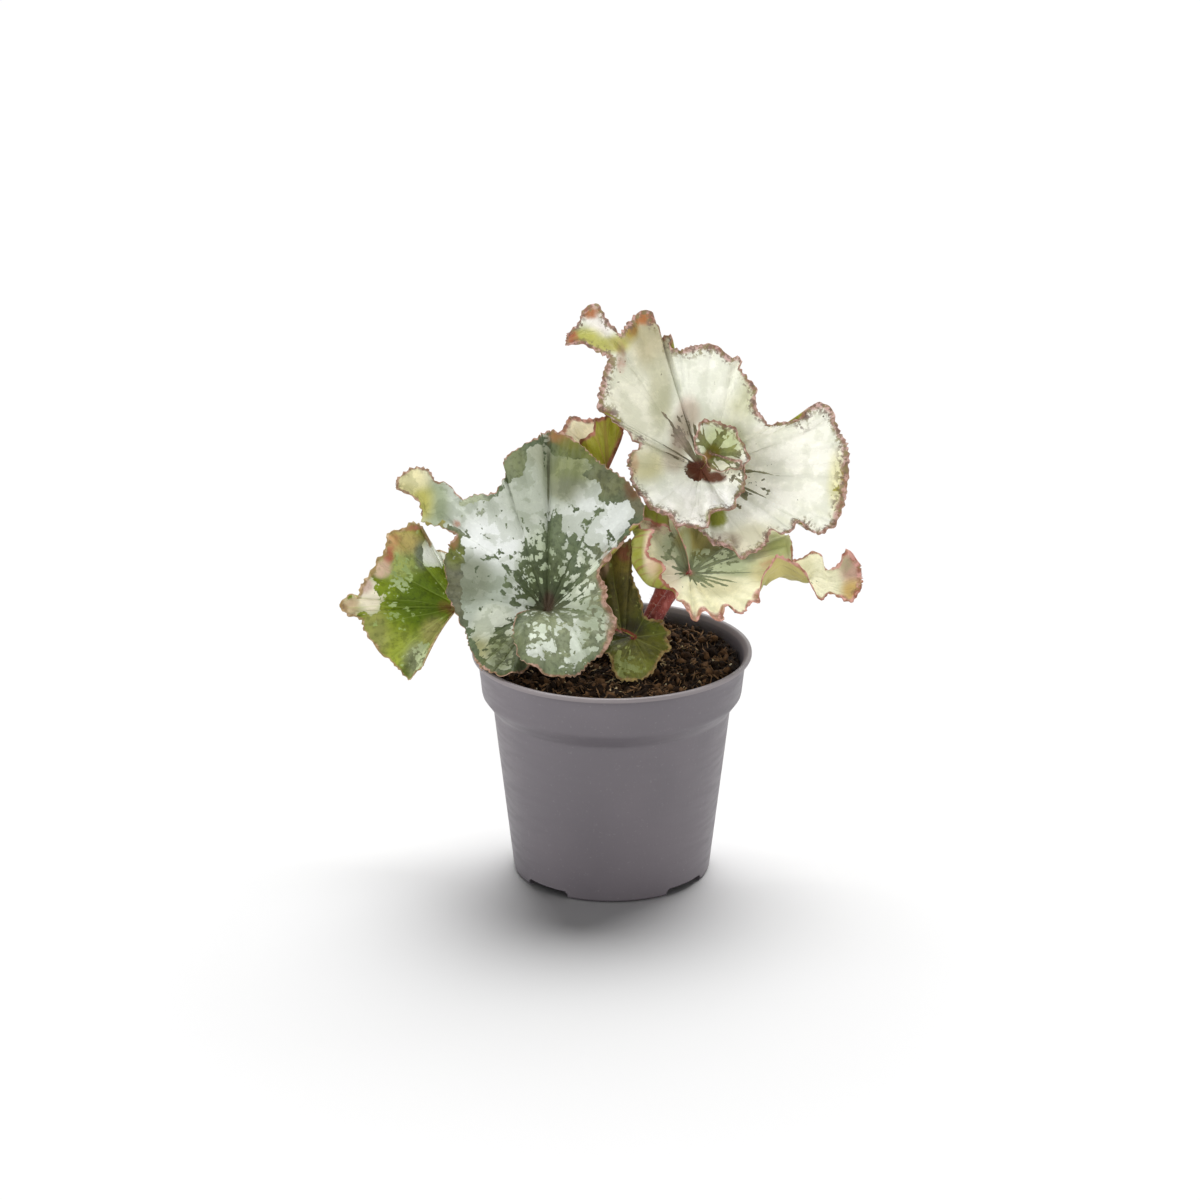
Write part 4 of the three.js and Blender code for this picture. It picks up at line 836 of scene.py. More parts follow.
LOOKS["leaf_right_low"] = dict(
    veins=(2, 5, 8, 11, 14, 17, 19, 21, 23, 25, 27, 29, 31, 33, 35.5), vein_reach=44, vein_width=0.85,
    vein_dark=1, border=2, border_dark=0.1, edge=1.6, fray=1, edge_one=(204, 148, 138),
    edge_two=(154, 88, 74), heart=3, heart_colour=(132, 116, 84), edged=0.6, pale=(234, 230, 194),
    dark=(112, 120, 84), veined=0, line=0.06, groove=0.1, puff=0.16,
    pale_at=(
        # the first and third patches are painted shade: grey-green on the inner face of the rolled left
        # wall, and dark olive under the margin of leaf_right_high
        (27, 40, 7, 11, 176, 184, 150), (44, 37, 14, 6, 184, 190, 150), (36, 46, 8, 6, 156, 152, 92),
        (56, 35, 9, 5, 160, 166, 124), (44, 26, 10, 4, 212, 206, 166), (66, 36, 8, 9, 194, 184, 132),
        (72, 44, 6, 6, 172, 176, 112), (46, 38, 16, 6, 182, 190, 150), (36, 36, 8, 5, 170, 178, 140),
        (91, 31, 9, 10, 224, 220, 186), (102, 34, 5, 8, 180, 148, 128), (102, 24, 5, 5, 200, 168, 104),
        (24, 30, 5, 10, 232, 222, 196),
    ),
    # both patches are painted shade: dark olive under the margin of leaf_right_high, and grey-green on the
    # inner face of the left wall
    dark_at=((36, 46, 12, 6, 112, 106, 52), (26, 42, 6, 10, 128, 136, 104)),
    cover_at=((31, 37, 5, 5, 0.45), (25, 42, 5, 7, 0.62), (44, 37, 11, 5, 0.62), (46, 44, 10, 3, 0.35)),
    veined_at=((46, 35, 18, 7, 0.9), (42, 30, 10, 4, 0.8)),
    edged_at=(
        (36, 15, 14, 6, 2.8), (62, 22, 5, 5, 2.2), (18, 48, 5, 8, 2.6), (18, 32, 5, 8, 2.4),
        (101, 32, 6, 10, 1.6), (30, 42, 3.6, 10, 0),
    ),
    tints=(
        # the first, third and fourth tints are painted shade: dark olive under the margin of
        # leaf_right_high, and grey-green on the inner face of the left wall
        (44, 44.5, 10, 2.6, 104, 100, 48, 0.7), (70, 36, 9, 3, 176, 108, 84, 0.35),
        (34, 47, 7, 4.5, 170, 158, 92, 0.75), (31.5, 43, 2.2, 8, 158, 162, 122, 0.85),
        (99, 36, 3, 4, 148, 148, 110, 0.5),
    ),
    under_tints=(
        (74, 33, 12, 7, 190, 178, 114, 0.9), (17, 41, 3.2, 9, 250, 226, 202, 0.9),
        (19, 36, 4, 5, 190, 160, 110, 0.5),
    ),
)
LOOKS["leaf_left"] = dict(
    veins=(1.5, 5, 8, 11.5, 15, 19, 23, 26, 29), vein_reach=20, vein_width=1, vein_dark=0, border=3,
    border_dark=0, edge=1, flecks=0.5, edge_one=(186, 158, 124), edge_two=(150, 124, 80), line=0.22,
    line_colour=(160, 178, 84), groove=0.16, edged=0.8, heart_colour=(120, 90, 44), pale=(156, 176, 104),
    dark=(116, 134, 24), cover=0.33, spot=(3.8, 3.8),
    edged_at=((-104, 26, 8, 12, 1.8), (-90, 49, 12, 6, 1.4)),
    pale_at=(
        # the last patch on this line is a real cream patch, painted lighter than its own colour where the
        # blade lies in shade: partly painted light
        (-92, 34, 8, 7, 150, 168, 104), (-93, 24, 7, 6, 176, 192, 140), (-76, 41, 8, 6, 234, 238, 226),
        (-104, 22, 6, 8, 236, 228, 204), (-113, 17, 4, 5, 216, 196, 158), (-83, -4, 6, 8, 180, 190, 146),
        (-90, 46, 8, 5, 182, 170, 110),
    ),
    dark_at=(
        (-82, 20, 12, 13, 84, 106, 6), (-94, 0, 12, 9, 140, 152, 52), (-90, 42, 8, 3.5, 164, 166, 108),
        (-83, -5, 6, 8, 128, 134, 96), (-92, 36, 8, 6, 140, 152, 84), (-76, 7, 6, 6, 152, 150, 84),
        (-102, 6, 6, 12, 142, 146, 76), (-90, 46, 9, 5, 176, 160, 96), (-82, 40, 3, 6, 112, 120, 96),
    ),
    cover_at=(
        (-92, 30, 8, 12, 0.5), (-94, 12, 7, 9, 0.42), (-86, 8, 6, 8, 0.34), (-80, 22, 7, 9, 0.2),
        (-77, 41, 6, 5.5, 1.3), (-83, 40, 2, 6, 0.1), (-107, 24, 4, 8, 1.4), (-103, 19, 3, 4, 1.3),
        (-94, 1, 8, 7, 0.2), (-82.5, -4, 5, 7, 0.6), (-90, 46, 6, 3, 0.1), (-113, 17, 4, 4, 1.2),
        (-76, 8, 5, 5, 0.2),
    ),
    tints=(
        (-95, 46, 4, 4, 184, 138, 92, 0.65), (-96, 40, 2.4, 4, 158, 92, 66, 0.7),
        (-87, 52, 6, 1.6, 166, 108, 80, 0.8), (-99, 34, 4, 4, 206, 178, 152, 0.75),
        (-106, 27, 3.4, 4, 190, 162, 150, 0.75), (-115.5, 16, 2.4, 4, 150, 122, 84, 0.7),
        (-111, 20, 2.6, 2, 184, 160, 130, 0.6), (-73, 18, 3, 3, 120, 92, 40, 0.5),
        (-68, 16, 3, 4, 112, 70, 40, 0.6),
    ),
)
LOOKS["leaf_back_small"] = dict(
    veins=(1, 4, 7, 10, 13, 16), vein_reach=14, vein_width=0.8, vein_dark=0.2, border=1.5, border_dark=0.1,
    edge=1.9, edge_one=(176, 110, 96), edge_two=(112, 54, 40), heart_colour=(150, 130, 90),
    pale=(232, 222, 190), dark=(180, 168, 116), edged=1.4, under=(150, 148, 34), under_two=(166, 160, 62),
    under_dark=(120, 114, 26), under_vein=(150, 128, 48), groove=0.14,
)
LOOKS["leaf_front_small"] = dict(
    veins=(3, 7, 12.5, 16, 19, 22, 26), vein_reach=14, vein_width=0.8, vein_dark=0, border=3, border_dark=0,
    edge=1.2, edge_one=(150, 128, 76), edge_two=(128, 96, 56), line=0.25, line_colour=(128, 134, 60),
    heart=1.6, heart_colour=(120, 52, 34), pale=(130, 136, 70), dark=(78, 84, 16), cover=0.3,
    spot=(3.4, 3.6), groove=0.16,
    dark_at=(
        (5, 24, 9, 12, 78, 72, 26), (4, 37, 6, 6, 106, 94, 38), (8, 7, 6, 6, 46, 42, 8),
        (12, 0, 12, 6, 78, 78, 16), (8, -9, 10, 5, 94, 98, 34),
    ),
    cover_at=((6, -7, 7, 5, 0.6), (12, 20, 4, 6, 0.35), (7, 8, 6, 5, 0.16)),
    pale_at=((6, -8, 7, 5, 124, 132, 74), (6, 24, 8, 12, 108, 108, 52)),
    edged_at=((6, 6, 4, 3, 0.2),),
    tints=((6, 42, 3.5, 5, 132, 84, 56, 0.8), (-4, 36, 3, 6, 168, 136, 112, 0.7)),
    under_tints=((6, 42, 3.5, 6, 150, 96, 72, 0.7),),
)


def nearness(blade, x, u, reach_x, reach_u):
    """1 at a place of the front plane, 0.5 at its reach and 0 beyond."""
    away = np.hypot((blade.points[:, 0] - x) / reach_x, (blade.points[:, 1] - u) / reach_u)
    return 1 - smooth(away, 0.5, 1.5)


def laid(blade, base, patches):
    """Values or linear colours over the blade: the base, and over it each patch in turn."""
    tones = [np.ravel(base), *(patch[4:] for patch in patches)]
    tones = [np.array(srgb(*tone) if len(tone) == 3 else tone) for tone in tones]
    values = np.tile(tones[0], (len(blade.points), 1))
    for patch, tone in zip(patches, tones[1:]):
        near = nearness(blade, *patch[:4])[:, None]
        values = values * (1 - near) + near * tone
    return values.squeeze()


def flushed(blade, tints):
    """The colour laid over each vertex and how strongly it is laid."""
    colour = np.zeros((len(blade.points), 3))
    share = np.zeros(len(blade.points))
    for *place, red, green, blue, strength in tints:
        near = strength * nearness(blade, *place)
        total = 1 - (1 - share) * (1 - near)
        weight = np.divide(near, total, out=np.zeros_like(near), where=total > 1e-6)[:, None]
        colour = colour * (1 - weight) + np.array(srgb(red, green, blue)) * weight
        share = total
    return colour, share


FAR_VEINS = 9
ROW_NUDGE = 0.05


def vein_values(blade, veins):
    """A count that grows by one from main vein to main vein, and the millimetres between two."""
    first, last = veins[1] - veins[0], veins[-1] - veins[-2]
    rows = [veins[0] - FAR_VEINS * first, *veins, veins[-1] + FAR_VEINS * last]
    counts = [-FAR_VEINS, *range(len(veins)), len(veins) - 1 + FAR_VEINS]
    before, phase, after = (
        np.interp(blade.row + nudge, rows, counts) for nudge in (-ROW_NUDGE, 0, ROW_NUDGE)
    )
    return phase, blade.across / ((after - before) / (2 * ROW_NUDGE))


TOOTH = 1.0
TOOTH_GAP = 3.2
TOOTH_DEPTH = 2.2
TEETH_FROM = (0.8, 0.97)
GROOVE_WIDTH = 0.9
EDGE_THICKNESS, BLADE_THICKNESS = 0.3, 0.6


def make_leaf(name):
    marks = {**BASE_LOOK, **LOOKS[name]}
    look = SimpleNamespace(**marks)
    blade = Blade(LEAVES[name])
    phase, span = vein_values(blade, look.veins)
    tint, tinted = flushed(blade, marks.get("tints", ()))
    under_tint, under_tinted = flushed(blade, marks.get("under_tints", ()))
    values = {
        "rim": blade.rim,
        "polar": np.stack([blade.arc, blade.hub, 0 * blade.hub], -1),
        "vein": np.stack([phase, span, blade.out], -1),
        "tint": tint, "tinted": tinted, "under_tint": under_tint, "under_tinted": under_tinted,
    }
    for key in ("cover", "veined", "edged", "pale", "dark"):
        values[key] = laid(blade, marks[key], marks.get(key + "_at", ()))

    # grooves along the veins, puffs between them, and teeth on the margin
    near = np.abs(phase - np.round(phase)) * span
    groove = look.groove * np.exp(-(near / GROOVE_WIDTH) ** 2)
    groove = groove * smooth(blade.hub, 0, 4) * smooth(blade.rim, 0, 3)
    puff = look.puff * smooth(near, 0.5, 3.5) * smooth(blade.rim, 0.5, 4)
    blade.points = blade.points + blade.normals * (puff - groove)[:, None]
    run = blade.arc + np.where(blade.out > 1, blade.hub, 0)
    count = run / TOOTH_GAP + 0.7 * np.sin(run / 9) + 0.4 * np.sin(run / 4 + 2)
    size = TOOTH * (1 + 0.5 * np.sin(run / 6 + 1))
    teeth = size * (np.abs(count % 1 - 0.5) * 2 - 0.5) * (1 - smooth(blade.rim, 0, TOOTH_DEPTH))
    teeth = teeth * smooth(blade.out, *TEETH_FROM)
    blade.points = blade.points + teeth[:, None] * blade.outward(blade.margin)
    thickness = EDGE_THICKNESS + (BLADE_THICKNESS - EDGE_THICKNESS) * smooth(blade.rim, 0, 3)

    points, faces, edge = blade.skin(thickness)
    piece = add_piece(
        name + "_blade", to_world(points), faces, [leaf_top(name, look), leaf_under(name, look)], name)
    for key, upper in values.items():
        whole = np.concatenate([upper, upper, upper[edge]]).astype(np.float32)
        flat = whole.ndim == 1
        layer = piece.data.attributes.new(key, "FLOAT" if flat else "FLOAT_VECTOR", "POINT")
        layer.data.foreach_set("value" if flat else "vector", whole.reshape(-1))
    sides = np.ones(len(faces), np.int32)
    sides[:len(blade.faces)] = 0
    piece.data.polygons.foreach_set("material_index", sides)


for leaf_name in LEAVES:
    make_leaf(leaf_name)


# Stalks and rhizome
# The crown's profile is its radius as a share of the widest, and the height. A hair's rings are the
# share of its length and the share of its radius.

STALK_SIDES = 14
STALK_STEPS = 56
CROWN_X, CROWN_RADIUS, CROWN_BOTTOM, CROWN_TOP = 8, 6.4, 86, 101
CROWN_SIDES = 28
CURVE_STEPS = 30
CROWN_PROFILE = (
    (0.8, CROWN_BOTTOM), (1, CROWN_BOTTOM + 2), (1, 90), (1, 93), (1, CROWN_TOP - 4),
    (0.75, CROWN_TOP - 1.2), (0.3, CROWN_TOP),
)
HAIRS_PER_MM = 5.5
HAIR_LENGTHS = (0.7, 1.9)
HAIR_RADIUS = 0.07
HAIR_BEND, HAIR_SPREAD, HAIR_LEAN = 0.25, 0.35, 0.15
HAIR_SCATTER = 0.25
BARE_START, BARE_END = 3, 5
HAIR_RINGS = ((0, 1.0), (0.5, 0.7), (1.0, 0.05))


def centripetal(points, count):
    """A centripetal Catmull-Rom curve through the points, at count equal steps of its length. Each
    level blends the points of the one before, between the knots that they span."""
    ends = with_ends(np.asarray(points, float))
    curve = []
    for k in range(len(points) - 1):
        level = ends[k:k + 4]
        gaps = np.maximum(np.sqrt(np.linalg.norm(np.diff(level, axis=0), axis=1)), 1e-4)
        knots = np.concatenate([[0], np.cumsum(gaps)])
        t = np.linspace(knots[1], knots[2], CURVE_STEPS)[:, None]
        for wide, first in ((1, 0), (2, 0), (1, 1)):
            level = [
                ((knots[i + wide] - t) * level[i - first] + (t - knots[i]) * level[i - first + 1])
                / (knots[i + wide] - knots[i])
                for i in range(first, first + len(level) - 1)
            ]
        curve.append(level[0])
    curve = np.concatenate(curve)
    length = travelled(curve[None])[0]
    even = np.linspace(0, length[-1], count)
    return np.stack([np.interp(even, length, curve[:, n]) for n in range(3)], -1)


def hairs(roots, ways, lengths, random):
    """Thin pointed hairs of three sides, each bent a little on its way."""
    ways = unit(ways)
    across = unit(np.cross(ways, random.normal(size=ways.shape)))
    over = np.cross(ways, across)
    sway = HAIR_BEND * random.normal(size=(len(roots), 1)) * across
    points = []
    for share, size in HAIR_RINGS:
        middle = roots + ways * (lengths * share)[:, None] + sway * (lengths * share ** 2)[:, None]
        for turn in np.arange(3) * 2 * math.pi / 3:
            points.append(middle + HAIR_RADIUS * size * (math.cos(turn) * across + math.sin(turn) * over))
    one = [*ring_faces(3, 3).tolist(), [2, 1, 0], [6, 7, 8]]
    starts = 9 * np.arange(len(roots))[:, None]
    faces = [row for face in one for row in (starts + face).tolist()]
    return np.stack(points, 1).reshape(-1, 3), faces


def make_stems():
    random = np.random.default_rng(5)
    parts, fuzz = [], []
    for radii, points in STALKS:
        path = centripetal(to_world(points), STALK_STEPS)
        share = np.linspace(0, 1, STALK_STEPS)
        radius = along(np.array(radii)[:, None], share * (len(radii) - 1))[:, 0]
        points, faces = tube(path, radius, STALK_SIDES)
        lumps = 0.05 * np.sin(points @ (0.9, 0.7, 0.5)) + 0.04 * np.sin(points @ (-1.9, 1.3, 0.8))
        shape = (STALK_STEPS, STALK_SIDES)
        rings = points[:-2].reshape(*shape, 3)
        away = unit(rings - path[:, None])
        rings += away * lumps[:-2].reshape(*shape, 1)
        parts.append((points, faces))
        count = int(HAIRS_PER_MM * travelled(path[None])[0, -1])
        step = random.integers(BARE_START, STALK_STEPS - BARE_END, count)
        side = random.integers(0, STALK_SIDES, count)
        ahead = unit(np.gradient(path, axis=0))[step]
        roots = rings[step, side] + random.normal(size=(count, 3)) * HAIR_SCATTER
        ways = away[step, side] + HAIR_SPREAD * random.normal(size=(count, 3)) - HAIR_LEAN * ahead
        fuzz.append(hairs(roots, ways, random.uniform(*HAIR_LENGTHS, count), random))
    path = np.array([(CROWN_X, 0, height) for share, height in CROWN_PROFILE], float)
    radius = [CROWN_RADIUS * share for share, height in CROWN_PROFILE]
    points, faces = tube(path, radius, CROWN_SIDES)
    knob = 0.35 * np.sin(points @ (1.4, 0.3, 1.1)) + 0.25 * np.sin(points @ (-0.6, 1.7, 0.9))
    middle = points * (0, 0, 1) + (CROWN_X, 0, 0)
    points += unit(points - middle + 1e-9) * knob[:, None]
    parts.append((points, faces))

    paint = Paint("stalk_red", 0.4, 0.15)
    streak = paint.noise(1.4, 3, on=paint.place.scaled((1, 1, 0.25)))
    tone = paint.noise(7).step(0.38, 0.62).mix((128, 46, 40), (160, 70, 60))
    tone = streak.step(0.5, 0.7, 0, 0.6).mix(tone, (196, 116, 104))
    tone = paint.cells(1.1).step(0.0, 0.2, 0.4, 0.0).mix(tone, (214, 160, 150))
    tone = paint.place.part(2).step(95, 104, 0.75, 0.0).mix(tone, (84, 48, 34))
    red = paint.finish(tone, 0.5, streak + paint.cells(0.9) * 0.4, 0.4, 0.0005)
    add_piece("stalks", *gather(parts), [red], "stems", "stems")
    paint = Paint("stalk_hair", 0.3)
    pale = paint.finish(paint.noise(6, 1).mix((206, 150, 140), (232, 206, 192)), 0.6)
    add_piece("stalk_hairs", *gather(fuzz), [pale], None, "stems")


make_stems()


# Pot
# The profile is radius and height, from the middle of the under side round the wall to the middle
# of the floor. The recesses in the base edge and the drain holes in them are cut out of it.

POT_SIDES = 180
FLOOR_TOP = 4.7
PROFILE = (
    (0, 0.5), (30, 0.5), (38.5, 0), (41.0, 0), (41.9, 0.25), (42.4, 0.8), (42.6, 1.5), (44.4, 17),
    (46.7, 37), (49.1, 57.6), (50.75, 72.2), (51.0, 74.2), (51.3, 75.1), (52.0, 76.0), (55.0, 80.2),
    (55.6, 81.1), (55.85, 82.2), (56.4, 87.5), (57.1, 93.4), (57.6, 97.3), (57.8, 97.8), (58.3, 97.95),
    (59.3, 97.95), (59.75, 98.1), (60.0, 98.6), (60.0, 99.3), (59.8, 99.8), (59.3, 100), (58.6, 100),
    (58.1, 99.8), (57.6, 99.2), (56.5, 97.6), (56.3, 96), (55.5, 88.5), (54.6, 82), (53.9, 80.8),
    (50.6, 76), (49.8, 74.6), (45.6, 38), (41.4, FLOOR_TOP), (0, FLOOR_TOP),
)
RECESS_TURNS = (48.5, 138.5, 228.5, 318.5)
RECESS_MIDDLE, RECESS_LENGTH, RECESS_DEPTH = 45, 24, 3.2
BASE_RADIUS = 42.6
RECESS_WIDTH = 2 * BASE_RADIUS * math.sin(math.radians(15))
RECESS_ROUND = 0.8
DRAIN_MIDDLE, DRAIN_RADIUS, DRAIN_LENGTH = 36.8, 3, 14


def recess(form):
    bmesh.ops.create_cube(form, size=1)
    size = Vector((RECESS_LENGTH, RECESS_WIDTH, 2 * RECESS_DEPTH)) * MM
    bmesh.ops.scale(form, vec=size, verts=form.verts)
    bmesh.ops.translate(form, vec=(RECESS_MIDDLE * MM, 0, 0), verts=form.verts)
    bmesh.ops.bevel(form, geom=form.edges[:], offset=RECESS_ROUND * MM, segments=2, affect="EDGES")


def drain(form):
    radius = DRAIN_RADIUS * MM
    bmesh.ops.create_cone(
        form, cap_ends=True, segments=32, radius1=radius, radius2=radius, depth=DRAIN_LENGTH * MM)
    bmesh.ops.translate(form, vec=(DRAIN_MIDDLE * MM, 0, 0), verts=form.verts)


def make_pot():
    rings = lathed(PROFILE[1:-1], POT_SIDES)
    points, faces = closed(rings, (0, 0, PROFILE[0][1]), (0, 0, FLOOR_TOP))
    paint = Paint("pot_plastic", 0.5)
    tone = paint.noise(60).step(0.35, 0.65).mix((101, 96, 101), (107, 101, 106))
    tone = paint.noise(1.2).step(0.62, 0.78, 0, 0.25).mix(tone, (146, 140, 144))
    # painted highlight and painted reflection of the soil: a lighter, brownish band round the top of the
    # lip
    tone = paint.place.part(2).step(97.6, 98.4, 0, 0.45).mix(tone, (150, 141, 140))
    scuff = paint.noise(14, 3, on=paint.place.scaled((1, 1, 6)))
    flow = paint.noise(3.5, on=paint.place.scaled((1, 1, 0.12)))
    grain = paint.noise(0.5, 1) * 0.5 + flow
    plastic = paint.finish(tone, scuff.step(0.35, 0.7, 0.4, 0.52), grain, 0.12, 0.0004)
    pot = add_piece("nursery_pot", points, faces, [plastic], "pot", "pot")
    cutters = []
    for degrees in RECESS_TURNS:
        for shape in (recess, drain):
            mesh = bpy.data.meshes.new(shape.__name__)
            form = bmesh.new()
            shape(form)
            form.to_mesh(mesh)
            form.free()
            cutter = put_in_scene(shape.__name__, mesh)
            cutter.rotation_euler.z = math.radians(degrees)
            cutters.append(cutter)
    for cutter in cutters:
        cut = pot.modifiers.new("cut", "BOOLEAN")
        cut.operation = "DIFFERENCE"
        cut.solver = "EXACT"
        cut.object = cutter
    bpy.context.view_layer.update()
    shape = bpy.data.meshes.new_from_object(pot.evaluated_get(bpy.context.evaluated_depsgraph_get()))
    pot.modifiers.clear()
    pot.data = shape
    for cutter in cutters:
        bpy.data.objects.remove(cutter)
    pot.data.set_sharp_from_angle(angle=math.radians(40))


make_pot()


# Soil

SOIL_LEVEL = 94.5
SOIL_LUMP, SOIL_CRUMB, SOIL_SUNK = 1.1, 0.45, 0.4
SOIL_RADIUS = 54.9
SOIL_RINGS, SOIL_SIDES = 84, 210
EDGE_WIDTH, EDGE_DROP = 2, 1.2
LEVEL_REACH = 30
SOIL_BOTTOM = 5.2
SOIL_UNDER = ((41.2, SOIL_BOTTOM), (49.2, 74), (53.2, 81.5), (54.3, 88))
CRUMB_REACH = SOIL_RADIUS - 1.2
CRUMB_CORNERS = (0.62, 1.25)
FIBRES = 950
FIBRE_REACH, FIBRE_END_REACH = SOIL_RADIUS - 3, SOIL_RADIUS - 1
FIBRE_LENGTHS = (2.5, 10)
FIBRE_GIRTHS = (0.12, 0.46)
FIBRE_CURL = 0.25
FIBRE_LIFT, FIBRE_RISE, FIBRE_FLAT_SHARE = 0.35, 0.9, 0.6
FIBRE_STEPS, FIBRE_SIDES = 6, 5


def soil_height(x, y):
    """The soil's lumpy surface, level round the crown."""
    lumps = (np.sin(0.31 * x + 0.8) * np.cos(0.27 * y - 0.4) + 0.6 * np.sin(0.53 * x - 0.41 * y + 1.9)
             + 0.4 * np.cos(0.62 * y + 0.35 * x))
    clear = np.minimum(1, np.hypot(x - CROWN_X, y) / LEVEL_REACH)
    return SOIL_LEVEL + SOIL_LUMP * clear * lumps


def soil_skin(x, y):
    """The soil's surface with its finer crumbs."""
    fine = (np.sin(1.3 * x + 2.1 * y) * np.cos(1.7 * y - 0.9 * x) + 0.7 * np.sin(2.9 * x - 1.1 * y + 1)
            * np.cos(2.3 * y + 0.6 * x) + 0.5 * np.sin(4.1 * y + 3.3 * x))
    return soil_height(x, y) + SOIL_CRUMB * fine - SOIL_SUNK


def strewn(count, reach, random):
    """Even places within reach of the pot's middle."""
    angle = random.uniform(0, 2 * math.pi, count)
    radius = reach * np.sqrt(random.uniform(0, 1, count))
    return radius * np.cos(angle), radius * np.sin(angle)


def crumbs(count, sizes, flat, sink, random):
    """Rough crumbs lying in the soil's surface."""
    form = bmesh.new()
    bmesh.ops.create_icosphere(form, subdivisions=1, radius=1)
    shape = np.array([v.co for v in form.verts])
    cells = np.array([[v.index for v in f.verts] for f in form.faces])
    form.free()
    x, y = strewn(count, CRUMB_REACH, random)
    size = random.uniform(*sizes, count)
    z = soil_skin(x, y) + size * sink
    points = np.repeat(shape[None], count, 0) * random.uniform(*CRUMB_CORNERS, (count, len(shape), 1))
    points = points * size[:, None, None] * random.uniform(flat, 1.0, (count, 1, 3))
    turns = unit(random.normal(size=(count, 4)))
    w, v = turns[:, :1, None], turns[:, None, 1:]
    cross = np.cross(v, points)
    points = points + 2 * (w * cross + np.cross(v, cross)) + np.stack([x, y, z], -1)[:, None]
    faces = cells + len(shape) * np.arange(count)[:, None, None]
    return points.reshape(-1, 3), faces.reshape(-1, 3)


def fibres(random):
    """Thin curled fibres on the soil."""
    parts = []
    share = np.linspace(-0.5, 0.5, FIBRE_STEPS)
    for x, y in zip(*strewn(FIBRES, FIBRE_REACH, random)):
        way = random.uniform(0, 2 * math.pi)
        length = random.uniform(*FIBRE_LENGTHS)
        ahead, aside = length * share, random.normal() * FIBRE_CURL * length * share ** 2
        px = x + ahead * math.cos(way) - aside * math.sin(way)
        py = y + ahead * math.sin(way) + aside * math.cos(way)
        room = FIBRE_END_REACH / np.maximum(np.hypot(px, py), FIBRE_END_REACH)
        px, py = px * room, py * room
        rise = FIBRE_RISE * random.uniform() * (share + 0.5)
        lift = FIBRE_LIFT + rise * random.choice((0, 1), p=(FIBRE_FLAT_SHARE, 1 - FIBRE_FLAT_SHARE))
        path = np.stack([px, py, soil_skin(px, py) + lift], -1)
        girth = random.uniform(*FIBRE_GIRTHS) * (1 - 0.6 * np.abs(share) * 2) + 0.03
        parts.append(tube(path, girth, FIBRE_SIDES))
    return gather(parts)


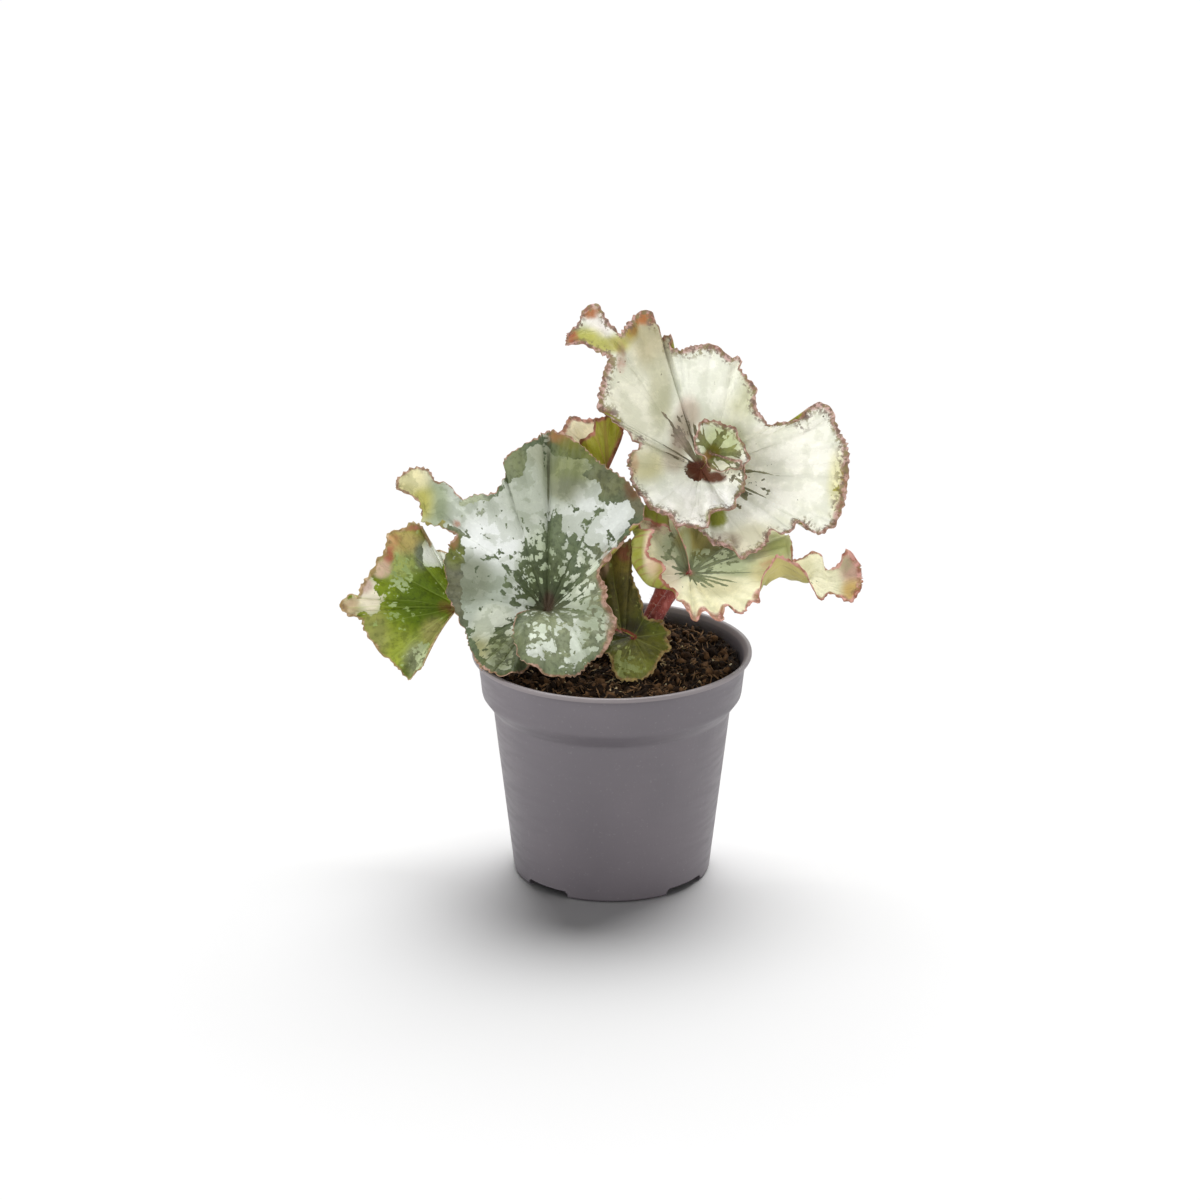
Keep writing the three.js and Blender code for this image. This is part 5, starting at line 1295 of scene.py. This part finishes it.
def make_soil():
    random = np.random.default_rng(11)
    radius = SOIL_RADIUS * np.linspace(0.01, 1, SOIL_RINGS) ** 0.8
    turn = np.linspace(0, 2 * math.pi, SOIL_SIDES, endpoint=False)
    x, y = radius[:, None] * np.cos(turn), radius[:, None] * np.sin(turn)
    z = soil_skin(x, y) - EDGE_DROP * smooth(radius, SOIL_RADIUS - EDGE_WIDTH, SOIL_RADIUS)[:, None]
    rings = np.concatenate([lathed(SOIL_UNDER, SOIL_SIDES), np.stack([x, y, z], -1)[::-1]])
    points, faces = closed(rings, (0, 0, SOIL_BOTTOM), (0, 0, soil_skin(0.0, 0.0)))
    paint = Paint("peat", 0.12)
    tone = paint.noise(5, 4).step(0.35, 0.65).mix((26, 18, 12), (48, 34, 23))
    tone = paint.noise(1.3, 4).step(0.56, 0.76).mix(tone, (84, 62, 45))
    tone = paint.cells(2.4).step(0.35, 0.8).mix(tone, (20, 14, 11))
    peat = paint.finish(tone, 0.92, paint.noise(1.1, 4) + paint.cells(1.6) * -0.7, 0.9, 0.0012)
    add_piece("potting_mix", points, faces, [peat], "soil", "soil")

    # name, count, sizes, flatness, how far it stands out, two colours and roughness
    kinds = (
        ("crumbs_dark", 1250, (0.6, 3.0), 0.3, 0.05, (22, 14, 8), (44, 30, 19), 0.95),
        ("crumbs_bark", 560, (0.7, 3.4), 0.12, 0.25, (46, 31, 19), (94, 68, 44), 0.85),
        ("grit", 80, (0.35, 1.0), 0.5, 0.8, (150, 134, 98), (214, 204, 172), 0.7),
    )
    for label, count, sizes, flat, sink, one, two, rough in kinds:
        paint = Paint(label, 0.12)
        tone = paint.noise(3, 3).step(0.35, 0.65).mix(one, two)
        material = paint.finish(tone, rough, paint.noise(0.5, 3), 0.7, 0.0005)
        add_piece(label, *crumbs(count, sizes, flat, sink, random), [material], None, "soil")
    paint = Paint("fibre", 0.25)
    tone = paint.noise(4).step(0.3, 0.66).mix((42, 28, 17), (124, 94, 62))
    tone = paint.noise(7).step(0.6, 0.68).mix(tone, (196, 174, 132))
    material = paint.finish(tone, 0.85, paint.noise(0.4), 0.5, 0.0003)
    add_piece("fibres", *fibres(random), [material], None, "soil")


make_soil()


# Floor and light
# The panels are a name, a place and a size in metres, and a power. They light the plant and the pot
# alone, and leave the floor its shadow.

FLOOR_TONE = (245.814, 245.814, 245.814)
FLOOR_REACH = 8
WORLD_LIGHT = 0.13
TOP_LIGHT = 3.65
TOP_SPREAD = 57
TOP_TURN = (-32, 8, 0)
AIMED_AT = Vector((0, 0, 0.14))
PANELS = (
    ("left_panel", (-1.5, -0.75, 0.75), 1.0, 17.5),
    ("right_panel", (1.5, -0.55, 0.6), 1.0, 13.5),
    ("front_panel", (-0.4, -1.7, 0.75), 1.2, 9.8),
)


def make_lamp(name, kind, power):
    lamp = put_in_scene(name, bpy.data.lights.new(name, kind))
    lamp.data.energy = power
    return lamp


def make_stage():
    mesh = bpy.data.meshes.new("floor")
    corners = [(FLOOR_REACH * x, FLOOR_REACH * y, 0) for x, y in ((-1, -1), (1, -1), (1, 1), (-1, 1))]
    mesh.from_pydata(corners, [], [(0, 1, 2, 3)])
    mesh.materials.append(Paint("floor_white", 0.1).finish(FLOOR_TONE, 0.9))
    floor = put_in_scene("floor", mesh)
    scene = bpy.context.scene
    scene.world = bpy.data.worlds.new("studio")
    scene.world.use_nodes = True
    light = scene.world.node_tree.nodes["Background"].inputs
    light["Color"].default_value = (1, 1, 1, 1)
    light["Strength"].default_value = WORLD_LIGHT
    scene.view_settings.view_transform = "Standard"
    lamp = make_lamp("sky_panel", "SUN", TOP_LIGHT)
    lamp.data.angle = math.radians(TOP_SPREAD)
    lamp.rotation_euler = [math.radians(v) for v in TOP_TURN]
    spared = bpy.data.collections.new("lit_from_above_only")
    spared.objects.link(floor)
    spared.collection_objects[0].light_linking.link_state = "EXCLUDE"
    for label, place, size, power in PANELS:
        lamp = make_lamp(label, "AREA", power)
        lamp.data.size = size
        lamp.location = place
        lamp.rotation_euler = (AIMED_AT - Vector(place)).to_track_quat("-Z", "Y").to_euler()
        lamp.light_linking.receiver_collection = spared


make_stage()
